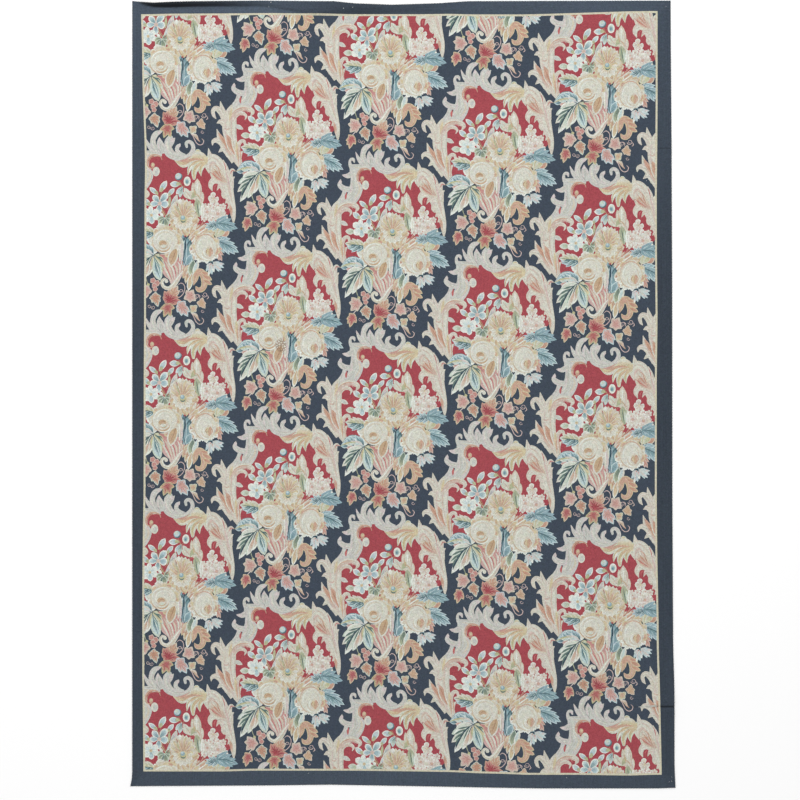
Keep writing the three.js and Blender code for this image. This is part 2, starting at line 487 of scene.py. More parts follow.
def strand(points, widths, shift, share, tone, endTone=None, start=0.06, end=0.94, steps=3):
    line = smoothLine(np.column_stack([points, widths]), steps)
    first, last = int(start * len(line)), max(int(end * len(line)), int(start * len(line)) + 4)
    line = line[first:last]
    taper = np.sin(np.linspace(0.05, math.pi - 0.05, len(line)))[:, None] ** 0.6
    spine, wide = line[:, :2], np.maximum(line[:, 2:3], 0.6)
    along = np.gradient(spine, axis=0)
    along /= np.linalg.norm(along, axis=1)[:, None] + 1e-9
    side = np.column_stack([-along[:, 1], along[:, 0]])
    middle, half = spine + side * wide * shift, wide * share * taper / 2
    lay(np.vstack([middle + side * half, (middle - side * half)[::-1]]), tone, endTone or tone,
        (tuple(spine[0]), tuple(spine[-1])))


# Leaves that grow into one another: all their rims first, then their bodies, then the strokes on each
def fronds(parts, rim, body, strokes, steps=4):
    for points, widths in parts:
        lay(ribbonEdge(points, widths, steps=steps), rim)
    for points, widths in parts:
        trimmed = [max(w - 11, 0.6) for w in widths]
        lay(ribbonEdge(points, trimmed, steps=steps), body)
    for n, (points, widths) in enumerate(parts):
        for i, (shift, share, tone) in enumerate(strokes):
            lag = 0.05 * ((n + i) % 4)
            strand(points, widths, shift, share, tone, start=0.05 + lag, end=0.97 - 0.06 * ((n + 2 * i) % 3))


def sheaf(base, tips, width, tones, bend=0.0, belly=0.6):
    for i, tip in enumerate(tips):
        petal(base, tip, width, tones[i % len(tones)], tones[(i + 1) % len(tones)],
                tones[(i + 2) % len(tones)], bend=bend, belly=belly, blunt=0.7)


# Centre lines of the scrolled frame. The red ground is what they enclose, so that the frame's leaves edge it.
spine = {
    "crest": [(330, 285), (314, 310), (316, 350), (319, 400), (328, 450), (322, 490), (298, 540),
        (246, 590)],
    "left": [(184, 584), (164, 640), (154, 720), (154, 790), (172, 870), (194, 950), (212, 1010),
        (226, 1064)],
    "swirl": [(484, 274), (508, 298), (544, 318), (592, 331), (640, 326)],
    "gold": [(824, 344), (748, 334), (682, 350)],
    "lobe": [(856, 338), (894, 350), (926, 396)],
    "right": [(950, 470), (978, 556), (998, 620), (1018, 680), (1030, 740), (1036, 800), (1037, 858)],
}


def redGround():
    foot = [(900, 860), (700, 940), (385, 1040)]
    loop = [*spine["crest"][:1], *spine["swirl"], *spine["gold"][::-1], *spine["lobe"],
            *spine["right"][:5], *foot, *spine["left"][6::-1], *spine["crest"][:0:-1]]
    lay(smoothLine(loop, 3, closed=True), "red")


def strokes(rows):
    for route, tone, width in rows:
        lay(ribbonEdge(route, [2] + [width] * (len(route) - 2) + [2], steps=3), tone)


def crest():
    parts = [(spine["crest"], [70, 78, 62, 68, 112, 112, 100, 92]),
            ([(238, 466), (228, 510), (206, 556), (170, 600)], [30, 34, 44, 50]),
            ([(324, 468), (266, 466), (222, 454), (195, 426), (203, 386)], [54, 46, 45, 38, 6]),
            ([(324, 330), (290, 345), (256, 358), (214, 350)], [66, 50, 38, 5]),
            ([(456, 288), (410, 286), (360, 286), (300, 284)], [48, 46, 42, 40]),
            ([(306, 300), (282, 274), (277, 244), (288, 224), (308, 226), (314, 246)],
            [60, 32, 22, 22, 24, 14]), ([(410, 288), (378, 254), (348, 218), (326, 166)],
            [56, 46, 30, 4]), ([(432, 292), (396, 242), (384, 200), (395, 156), (418, 128), (452, 113)],
            [88, 60, 42, 46, 42, 22]), ([(462, 292), (452, 240), (440, 200), (438, 162)],
            [84, 66, 48, 6]), ([(600, 332), (548, 306), (518, 270), (506, 230), (510, 196), (524, 170)],
            [36, 54, 56, 54, 62, 50]), ([(518, 226), (540, 192), (562, 168)], [44, 42, 6]),
            ([*spine["swirl"], (682, 302), (708, 258), (700, 216), (674, 198), (652, 212), (656, 240)],
            [30, 44, 46, 42, 38, 35, 33, 31, 28, 26, 20]), ([(640, 314), (600, 296), (578, 268),
            (584, 236), (606, 214)], [36, 38, 34, 30, 5])]
    fronds(parts, "lilacGrey", "lilacGrey", [(-0.3, 0.14, "lilac"), (-0.06, 0.1, "cream"),
            (0.16, 0.09, "stone"), (0.32, 0.12, "lilac")])
    strokes([([(300, 270), (350, 274), (392, 276)], "stone", 7),
            ([(310, 290), (360, 296), (420, 296)], "ivory", 9),
            ([(504, 176), (496, 214), (504, 258), (536, 294)], "cream", 8),
            ([(536, 200), (530, 230), (540, 262), (566, 290)], "stone", 6),
            ([(500, 284), (548, 310), (608, 320), (664, 300)], "stone", 5),
            ([(412, 152), (404, 190), (416, 240)], "stone", 7),
            ([(386, 170), (382, 210), (398, 250)], "cream", 8),
            ([(440, 190), (446, 230), (452, 270)], "stoneDark", 6),
            ([(420, 250), (440, 270), (450, 290)], "stoneDark", 7),
            ([(296, 390), (304, 430), (312, 480)], "stone", 10),
            ([(330, 340), (334, 390), (350, 440)], "cream", 10),
            ([(340, 420), (360, 456), (350, 500), (310, 546)], "ivory", 16),
            ([(262, 560), (300, 524), (330, 480), (338, 440)], "stone", 6),
            ([(240, 540), (280, 506), (306, 470)], "cream", 9),
            ([(208, 440), (236, 468), (280, 478)], "stone", 7),
            ([(244, 366), (276, 354), (310, 342)], "stone", 7)])
    for base, tip, width in (((424, 134), (452, 114), 26), ((530, 200), (556, 172), 34),
            ((262, 360), (218, 352), 26), ((196, 424), (203, 388), 26), ((300, 226), (314, 240), 18),
            ((588, 248), (604, 218), 20), ((438, 196), (438, 166), 24), ((690, 210), (672, 198), 16),
            ((338, 200), (328, 170), 14)):
        lay(petalEdge(base, tip, width, 0, 0.5, 0.6), "lilac")
    # the tan roll and the grey bead that fill the corner of the red
    lay(ribbonEdge([(456, 344), (446, 316), (420, 303), (392, 300), (362, 311), (341, 343), (339, 380),
            (354, 404), (384, 408)], [3, 8, 9, 12, 14, 13, 12, 10, 6]), "peach")
    lay(ribbonEdge([(440, 316), (404, 311), (370, 322), (353, 350), (354, 380)], [3, 5, 6, 6, 3]),
            "peachDark")
    disc((381, 382), 17, "peach", squash=1.25, steps=12)
    disc((382, 378), 11, "gold", steps=8)
    disc((408, 434), 29, "cream", squash=1.3)
    disc((413, 438), 16, "lilacGrey", squash=1.4, steps=14)
    lay(petalEdge((256, 486), (247, 550), 18, 4), "redLight")


def leftFrame():
    fronds([(spine["left"], [50, 96, 116, 108, 86, 68, 56, 5]),
            ([(150, 664), (158, 612), (178, 570)], [60, 54, 26]),
            ([(122, 650), (98, 590), (86, 530)], [54, 38, 4]),
            ([(128, 694), (106, 642), (76, 602), (46, 588), (24, 610), (30, 646), (46, 668)],
            [66, 56, 48, 40, 32, 26, 8]), ([(116, 712), (84, 694), (54, 706)], [54, 42, 6]),
            ([(150, 720), (172, 656), (212, 608), (264, 586), (318, 594), (344, 618), (326, 650)],
            [60, 56, 52, 48, 44, 34, 6]), ([(172, 712), (196, 658), (232, 630), (270, 630), (291, 652),
            (279, 680)], [50, 38, 30, 28, 20, 4]), ([(180, 990), (112, 900), (72, 822), (50, 752)],
            [60, 58, 44, 4]), ([(158, 958), (116, 892), (82, 856), (44, 842), (17, 854), (12, 884)],
            [76, 66, 56, 42, 28, 5]), ([(190, 1010), (132, 936), (98, 912), (62, 938)], [60, 54, 46, 6]),
            ([(222, 1030), (212, 940), (222, 880), (246, 850), (270, 854), (282, 890)],
            [46, 40, 34, 30, 26, 5]), ([(240, 1050), (232, 990), (242, 946), (262, 928)],
            [36, 28, 24, 4])], "frame", "frame", [(-0.3, 0.16, "cream"), (-0.12, 0.07, "blush"),
            (0.1, 0.16, "cream"), (0.3, 0.08, "pinkish")])
    petal((200, 722), (265, 754), 36, "lilacGrey", "cream", belly=0.45)
    # the striped tongues in the body
    for base, tip, width, tone in (((192, 966), (130, 796), 44, "peach"),
            ((188, 960), (134, 816), 12, "peachDark"), ((172, 966), (60, 778), 36, "peach"),
            ((160, 940), (76, 806), 10, "peachDark"), ((176, 984), (108, 900), 16, "blush"),
            ((214, 1000), (204, 850), 24, "gold"), ((222, 1040), (212, 900), 12, "peach"),
            ((240, 1040), (234, 900), 9, "peach"), ((108, 744), (156, 748), 30, "blush"),
            ((112, 740), (150, 742), 12, "cream"), ((150, 700), (176, 580), 22, "gold"),
            ((300, 600), (214, 596), 20, "blush"), ((330, 620), (262, 584), 18, "blush"),
            ((150, 690), (216, 610), 26, "blush")):
        lay(petalEdge(base, tip, width, 2, 0.6), tone)
    strokes([([(108, 790), (132, 890), (178, 968)], "cream", 9),
            ([(166, 800), (176, 880), (194, 950)], "cream", 14),
            ([(182, 640), (190, 720), (186, 800), (188, 870)], "cream", 16),
            ([(112, 760), (134, 772), (158, 764)], "cream", 12),
            ([(206, 690), (204, 760), (196, 830)], "stone", 6),
            ([(176, 640), (206, 604), (258, 582), (312, 588)], "peach", 7),
            ([(164, 690), (188, 642), (226, 610), (290, 606)], "blush", 8),
            ([(196, 600), (232, 576), (280, 572)], "cream", 8),
            ([(180, 700), (206, 652), (244, 632), (276, 640)], "blush", 8),
            ([(116, 890), (80, 858), (40, 850)], "stone", 7),
            ([(140, 956), (108, 920), (76, 924)], "stone", 6),
            ([(98, 640), (66, 610), (42, 606)], "stone", 8),
            ([(108, 620), (96, 580), (90, 550)], "stone", 8),
            ([(226, 990), (222, 900), (246, 862), (270, 866)], "blush", 6),
            ([(262, 614), (286, 614), (302, 630), (304, 654)], "red", 9),
            ([(262, 606), (292, 606), (306, 626)], "shellPink", 7)])


def goldLeaves():
    parts = [([(742, 352), (742, 318), (744, 282)], [90, 100, 50]),
            ([*spine["gold"], (622, 378), (556, 348)], [60, 60, 64, 56, 3]),
            ([(776, 352), (706, 378), (674, 418), (664, 466)], [40, 42, 32, 4]),
            ([(800, 356), (738, 394), (714, 440), (714, 490)], [50, 54, 46, 26]),
            ([(812, 362), (776, 394), (764, 430), (771, 474)], [50, 46, 34, 3])]
    fronds(parts, "mint", "gold", [(-0.26, 0.18, "cream"), (-0.04, 0.12, "peach"),
            (0.16, 0.1, "goldDark"), (0.32, 0.1, "mint")])
    lay(smoothLine([(700, 326), (706, 292), (744, 274), (784, 286), (812, 314), (780, 330), (740, 326)],
            3, closed=True), "gold", "cream", ((740, 330), (740, 276)))
    strokes([([(580, 354), (640, 344), (694, 312)], "rosePink", 14),
            ([(600, 360), (650, 356), (706, 340), (790, 344)], "peach", 18),
            ([(600, 384), (650, 394), (690, 380)], "cream", 10),
            ([(700, 366), (744, 352), (800, 350)], "goldDark", 7),
            ([(728, 400), (712, 440), (712, 480)], "olive", 10),
            ([(700, 304), (740, 292), (790, 306)], "cream", 10),
            ([(700, 384), (680, 414), (672, 446)], "white", 9),
            ([(780, 390), (768, 424), (770, 456)], "olive", 9)])


def rightFrame():
    fronds([([(836, 452), (824, 408), (826, 366), *spine["lobe"], (952, 470)],
            [5, 40, 62, 84, 80, 88, 100]), ([(850, 348), (840, 300), (830, 250)], [66, 36, 4]),
            ([(902, 470), (874, 420), (868, 350)], [60, 76, 50]),
            ([(988, 520), (978, 450), (966, 396), (948, 342)], [74, 48, 34, 4]),
            ([(1000, 520), (1006, 456), (1022, 424), (1048, 434)], [60, 42, 28, 5]),
            ([(1002, 560), (1014, 512), (1026, 490), (1043, 478)], [72, 46, 28, 5]),
            (spine["right"], [130, 108, 84, 62, 52, 36, 4]),
            ([(985, 540), (930, 506), (888, 502), (858, 522), (850, 554), (864, 594)],
            [90, 76, 62, 48, 36, 4]), ([(930, 512), (880, 484), (842, 452)], [60, 54, 5]),
            ([(968, 560), (926, 546), (900, 588)], [60, 36, 4]),
            ([(990, 600), (962, 584), (950, 626), (964, 656)], [60, 36, 26, 4]),
            ([(1012, 690), (988, 670), (970, 692)], [44, 32, 5]),
            ([(1024, 740), (1004, 714), (988, 734)], [40, 26, 4])], "frame", "frame",
            [(-0.3, 0.14, "cream"), (-0.12, 0.08, "blush"), (0.08, 0.14, "cream"),
            (0.28, 0.08, "pinkish")])
    petal((985, 530), (848, 424), 84, "peach", "ivory", "blush", belly=0.6, blunt=0.6)
    for tip, tone in (((852, 418), "blush"), ((866, 404), "peachDark"), ((884, 398), "blush"),
            ((904, 402), "peachDark"), ((924, 412), "ivory")):
        lay(petalEdge((956, 510), tip, 8, -4), tone)
    strokes([([(846, 440), (880, 470), (940, 510)], "redLight", 6),
            ([(822, 420), (828, 370), (856, 336), (892, 344)], "cream", 14),
            ([(842, 290), (856, 330), (900, 372), (940, 440)], "cream", 12),
            ([(838, 430), (842, 394), (866, 368), (890, 378)], "blush", 12),
            ([(870, 380), (900, 396), (936, 440)], "peach", 8),
            ([(950, 356), (964, 392), (974, 440)], "redLight", 7),
            ([(968, 420), (984, 480), (1004, 560), (1024, 640)], "pinkish", 12),
            ([(1046, 434), (1022, 428), (1008, 456)], "redLight", 7),
            ([(1030, 490), (1014, 520), (1004, 560)], "cream", 10),
            ([(860, 580), (852, 552), (868, 524), (900, 512)], "cream", 9),
            ([(882, 586), (884, 556), (902, 536)], "redLight", 8),
            ([(900, 590), (910, 560), (940, 552)], "blush", 9),
            ([(1012, 660), (1034, 720), (1040, 790)], "cream", 10),
            ([(1006, 700), (1020, 740), (1024, 800)], "peach", 16),
            ([(1004, 716), (1010, 750), (1014, 790)], "peachDark", 7),
            ([(956, 600), (976, 620), (1000, 680)], "cream", 12),
            ([(980, 520), (996, 580), (1020, 660)], "blush", 8)])


def flowerStems():
    for route, widths in (([(504, 800), (474, 748), (446, 690), (432, 622)], [4, 5, 5, 3]),
            ([(440, 650), (452, 610), (462, 580)], [4, 4, 3]),
            ([(436, 640), (420, 618), (398, 596)], [4, 4, 3]),
            ([(500, 740), (516, 690), (512, 640)], [4, 5, 3]),
            ([(626, 600), (622, 560), (598, 512)], [6, 6, 4]),
            ([(624, 566), (612, 546), (580, 536)], [5, 5, 3]),
            ([(622, 570), (636, 552), (654, 546)], [5, 5, 3])):
        lay(ribbonEdge(route, widths), "brown")


def bud(base, tip, width):
    petal(base, tip, width, "ice", "white", "sky", belly=0.56)
    middle = np.array(base) + (np.array(tip) - base) * 0.45
    lay(petalEdge(base, middle, width * 0.62, width * 0.1), "olive", "sage", (base, middle))
    lay(petalEdge(middle, tip, width * 0.12), "lilac")


def blueSpray():
    flowerStems()
    petal((514, 728), (524, 630), 24, "olive", "sage", "sage")
    petal((524, 748), (582, 618), 44, "lilac", "mint", "teal", bend=4, streaks=2)
    petal((494, 802), (596, 660), 40, "lilac", "cream", "ice", bend=-4, streaks=2)
    petal((624, 556), (572, 618), 34, "ice", "white", "teal")
    petal((624, 562), (602, 646), 36, "mint", "ice", "tealDark", bend=4)
    bud((438, 600), (495, 508), 48)
    bud((430, 620), (358, 560), 38)
    bud((502, 634), (558, 570), 38)
    bud((370, 708), (306, 650), 46)
    bud((608, 540), (520, 536), 50)
    disc((590, 478), 30, "teal", steps=16)
    disc((586, 473), 24, "ice", steps=14)
    disc((582, 466), 14, "mint", steps=12)
    arc((590, 478), 26, -20, 120, 9, "tealDark")
    disc((659, 515), 28, "white", squash=1.36)
    disc((659, 515), 20, "mint", squash=1.3, steps=14)
    disc((658, 518), 14, "sky", squash=1.3, steps=12)
    disc((656, 520), 8, "teal", squash=1.2, steps=8)
    # the five-petalled flower
    for tip, wide, shade in (((388, 622), 50, "teal"), ((504, 606), 56, "teal"), ((514, 702), 64, "sky"),
            ((434, 772), 50, "teal"), ((364, 694), 48, "sky")):
        petal((441, 688), tip, wide, "ice", "white", shade, belly=0.62, blunt=0.6, streaks=3)
    disc((441, 690), 17, "pinkish", lobes=5, depth=0.2, steps=15)
    disc((441, 692), 6, "gold", steps=8)
    # the white star below it
    petal((330, 806), (243, 802), 50, "mint", "cream", "sage", streaks=2)
    for tip, wide in (((366, 706), 40), ((306, 738), 56), ((312, 826), 56), ((346, 836), 40),
            ((438, 808), 50), ((432, 742), 52)):
        petal((375, 782), tip, wide, "white", "white", "ice", belly=0.64, blunt=0.62, streaks=2)
    petal((375, 782), (380, 854), 46, "ice", "white", "sky", belly=0.64, blunt=0.62)
    disc((375, 782), 13, "gold", steps=10)
    disc((375, 782), 6, "tan", steps=8)
    petal((474, 790), (440, 762), 24, "white", "cream")
    petal((486, 806), (422, 822), 58, "sage", "mint", "pine", streaks=2)
    for tip in ((430, 858), (462, 896), (542, 780), (536, 850), (502, 886)):
        petal((484, 808), tip, 46, "sage", "mint", "pine", streaks=2)
    lay(ribbonEdge([(478, 812), (470, 850), (466, 880)], [3, 8, 3]), "tealDark")
    lay(ribbonEdge([(455, 728), (468, 760), (498, 806)], [3, 7, 4]), "olive")
    lay(ribbonEdge([(506, 796), (530, 760)], [5, 2]), "red")


def poppy():
    # the tan fringe that the open bloom lies on
    sheaf((632, 830), [(524, 786), (514, 838), (524, 884), (552, 924), (590, 948), (628, 958), (666, 956),
            (700, 936), (728, 900), (750, 862), (764, 822), (758, 780)], 66, ("gold", "tan", "ivory"))
    # the upright bloom behind
    sheaf((712, 660), [(626, 600), (634, 566), (662, 616), (682, 590)], 42, ("ivory", "mint", "cream"),
            bend=-4)
    for base, tip, wide in (((752, 720), (786, 600), 56), ((740, 690), (704, 524), 52),
            ((744, 690), (740, 492), 74), ((752, 690), (766, 530), 40)):
        petal(base, tip, wide, "cream", "ivory", "frame", belly=0.5, blunt=0.7, streaks=4)
    lay(petalEdge((694, 650), (728, 590), 34, 4), "sage", "olive", ((694, 650), (728, 590)))
    for route, tone in (([(760, 540), (770, 600), (768, 650)], "blush"),
            ([(714, 560), (722, 600), (728, 640)], "tan"), ([(738, 510), (742, 560), (740, 610)],
            "white"), ([(690, 664), (712, 640), (746, 634)], "sage"),
            ([(644, 586), (668, 616), (694, 650)], "blush"),
            ([(728, 614), (752, 632), (768, 664)], "tan"), ([(764, 640), (778, 664), (776, 690)],
            "blush")):
        lay(ribbonEdge(route, [3, 9, 3]), tone)
    petal((716, 704), (712, 662), 42, "red", "redLight")
    for base, tip, width, tone in (((762, 806), (738, 652), 62, "sage"),
            ((758, 796), (738, 672), 8, "pine"), ((768, 796), (760, 690), 16, "mint"),
            ((786, 830), (784, 684), 30, "white"), ((788, 824), (786, 700), 10, "cream")):
        lay(petalEdge(base, tip, width), tone)
    # the open bloom: a fan of streaks, and a frill below the eye
    heart = (628, 808)
    for i in range(15):
        t = i / 14
        degrees, reach = 188 + 164 * t, 96 + 60 * math.sin(math.pi * t)
        inner = "peachDark" if 3 < i < 11 else "tan"
        petal(heart, around(heart, reach, degrees), 40, ("gold", "ivory")[i % 2], ("cream", None)[i % 2],
                inner, belly=0.72, blunt=0.55)
    for i in range(22):
        t = i / 21
        degrees, reach = 192 + 156 * t, (0.62 + 0.22 * (i % 3) / 2) * (96 + 60 * math.sin(math.pi * t))
        lay(petalEdge(around(heart, 26, degrees), around(heart, reach, degrees), 5),
                ("tan", "peachDark", "gold")[i % 3])
    petal((604, 700), (606, 652), 30, "white", None, "cream")
    lay(ribbonEdge([(580, 700), (590, 744), (610, 796)], [4, 11, 7]), "sage")
    lay(ribbonEdge([(586, 726), (598, 760), (614, 796)], [2, 5, 3]), "olive")
    lay(ribbonEdge([(578, 686), (584, 700), (590, 720)], [3, 7, 3]), "shellRed")
    disc((626, 826), 46, "gold", squash=0.9)
    for i in range(15):
        t = i / 14
        degrees, reach = 4 + 172 * t, 78 + 22 * math.sin(math.pi * t)
        petal(around(heart, 36, degrees), around(heart, reach - 7 * (i % 2), degrees), 25, "cream",
                ("white", "cream")[i % 2], "ivory", belly=0.7, blunt=0.6)
    for i in range(9):
        lay(petalEdge(around(heart, 34, 20 + 17 * i), around(heart, 72 - 9 * (i % 3), 20 + 17 * i), 5),
                ("gold", "tan")[i % 2])
    disc((630, 820), 26, "olive", squash=0.92, steps=14)
    arc((630, 820), 21, 10, 170, 11, "pine")
    disc((627, 806), 18, "sky", steps=12)
    disc((624, 800), 10, "ice", steps=10)


def floret(centre, radius, turn):
    for ring, count, reach, wide in ((0, 12, 1.06, 0.44), (1, 9, 0.74, 0.42), (2, 7, 0.44, 0.34)):
        for i in range(count):
            degrees = turn + 360 * (i + 0.5 * ring) / count
            petal(around(centre, radius * reach * 0.4, degrees), around(centre, radius * reach, degrees),
                    radius * wide * 0.9, ("cream", "white")[i % 2], None, ("blush", "pinkish")[i % 2],
                    belly=0.62, blunt=0.85)
    disc(centre, radius * 0.16, "rosePink", steps=8)
    disc(centre, radius * 0.08, "gold", steps=6)


def hydrangea():
    disc((880, 766), 94, "pinkish", squash=0.64, lobes=9, depth=0.05, steps=28)
    for i, spot in enumerate(((800, 716), (850, 712), (798, 812), (856, 824), (952, 716), (966, 800),
            (930, 826), (906, 712))):
        blossom(spot, 29, 6, 40 * i, ("cream", "white")[i % 2], None, ("pinkish", "blush")[i % 2],
                "rosePink", 0.16, 0.66)
    floret((824, 760), 52, 10)
    floret((910, 774), 60, 0)
    for tip, wide in (((868, 600), 42), ((830, 650), 46), ((918, 662), 44), ((852, 694), 40),
            ((896, 700), 38)):
        petal((876, 652), tip, wide, "cream", "white", "blush", belly=0.64, blunt=0.6, streaks=2)
    disc((876, 652), 8, "gold", steps=8)
    for spot in ((810, 736), (872, 724), (868, 806), (784, 784), (916, 706), (884, 690)):
        disc(spot, 6, "rosePink", steps=7)


# A leaf whose pointed lobes spring from its midrib: all rims first, so that the lobes grow together
def lobedLeaf(start, end, tips, width, rim, body, deep, vein, lag=0.42, sharp=0.95, core=0.68):
    start, end = np.array(start, float), np.array(end, float)
    axis = end - start
    lobes = []
    for tip in [*tips, end]:
        share = np.clip((np.array(tip, float) - start) @ axis / (axis @ axis) - lag, 0, 0.75)
        lobes.append((start + axis * share, np.array(tip, float)))
    for root, tip in lobes:
        lay(petalEdge(root - (tip - root) * 0.12, tip, width, 0, 0.48, sharp, 8), rim)
    for root, tip in lobes:
        inner = root + (tip - root) * 0.88
        lay(petalEdge(root - (tip - root) * 0.1, inner, width * core, 0, 0.48, sharp, 7), deep, body,
                (tuple(root), tuple(inner)))
    for root, tip in lobes:
        aside = np.array([-(tip - root)[1], (tip - root)[0]]) * 0.09
        lay(petalEdge(root + (tip - root) * 0.1, root + (tip - root) * 0.74, width * 0.12, 0, 0.5, 0.75,
                5), vein)
        lay(petalEdge(root + (tip - root) * 0.34 + aside, root + (tip - root) * 0.9 + aside * 0.3,
                width * 0.1, 0, 0.5, 0.75, 5), rim)


def sideLeaves():
    petal((690, 1000), (868, 860), 96, "gold", "ivory", "peach", belly=0.5, blunt=0.7)
    for route, width, tone in (([(676, 1010), (740, 930), (836, 862)], 26, "peach"),
            ([(664, 990), (716, 912), (790, 838)], 22, "ivory"),
            ([(690, 1030), (760, 950), (850, 884)], 24, "tan"),
            ([(670, 1000), (730, 918), (812, 850)], 13, "cream"),
            ([(684, 1018), (750, 938), (842, 872)], 12, "white"),
            ([(694, 960), (744, 894), (800, 842)], 10, "peachDark"),
            ([(712, 1000), (776, 934), (852, 886)], 9, "rosePink"),
            ([(656, 960), (700, 890), (756, 836)], 16, "gold"),
            ([(730, 990), (790, 930), (872, 900)], 14, "ivory")):
        lay(ribbonEdge(route, [6, width, 4]), tone)
    lay(petalEdge((760, 872), (790, 822), 13), "red")
    sheaf((690, 960), [(700, 866), (744, 836), (726, 900), (764, 900)], 38, ("gold", "cream", "peach"))
    petal((940, 968), (1004, 904), 46, "peach", "ivory", "peachDark", streaks=2)
    sheaf((900, 964), [(874, 880), (894, 866), (922, 862), (950, 872), (972, 900)], 42,
            ("mint", "olive", "ivory"))
    sheaf((792, 956), [(850, 878), (874, 896), (890, 924), (880, 950)], 36, ("tan", "gold", "ivory"))
    lobedLeaf((912, 866), (804, 884), [(810, 850), (832, 832), (864, 826), (826, 906), (862, 912)], 28,
            "ice", "sky", "tealDark", "white", 0.5)
    lobedLeaf((904, 850), (1072, 892), [(940, 806), (988, 786), (1022, 812), (1054, 852), (1030, 916),
            (984, 916), (944, 900)], 42, "sky", "sky", "teal", "ice", 0.5)
    lay(ribbonEdge([(914, 852), (984, 858), (1050, 886)], [4, 7, 2]), "tealDark")
    lobedLeaf((912, 990), (1082, 1084), [(950, 962), (984, 958), (1014, 972), (1050, 1010), (1072, 1046),
            (1050, 1100), (1006, 1104), (964, 1090), (934, 1058)], 40, "ice", "sky", "teal", "ice", 0.5)
    lay(ribbonEdge([(918, 994), (994, 1026), (1058, 1068)], [5, 8, 3]), "tealDark")
    lobedLeaf((888, 1044), (946, 1152), [(922, 1032), (950, 1060), (958, 1106), (922, 1150), (892, 1136)],
            34, "blush", "rosePink", "rosePink", "brown", 0.6)


def rose(centre, radius, squash, rings):
    disc(centre, radius, "ivory", squash=squash, lobes=5, depth=0.025, steps=30)
    disc(centre, radius - 6, "cream", squash=squash, lobes=5, depth=0.025, steps=30)
    for share, start, end, width, tone in rings:
        arc(centre, radius * share, start, end, width, tone, squash=squash)


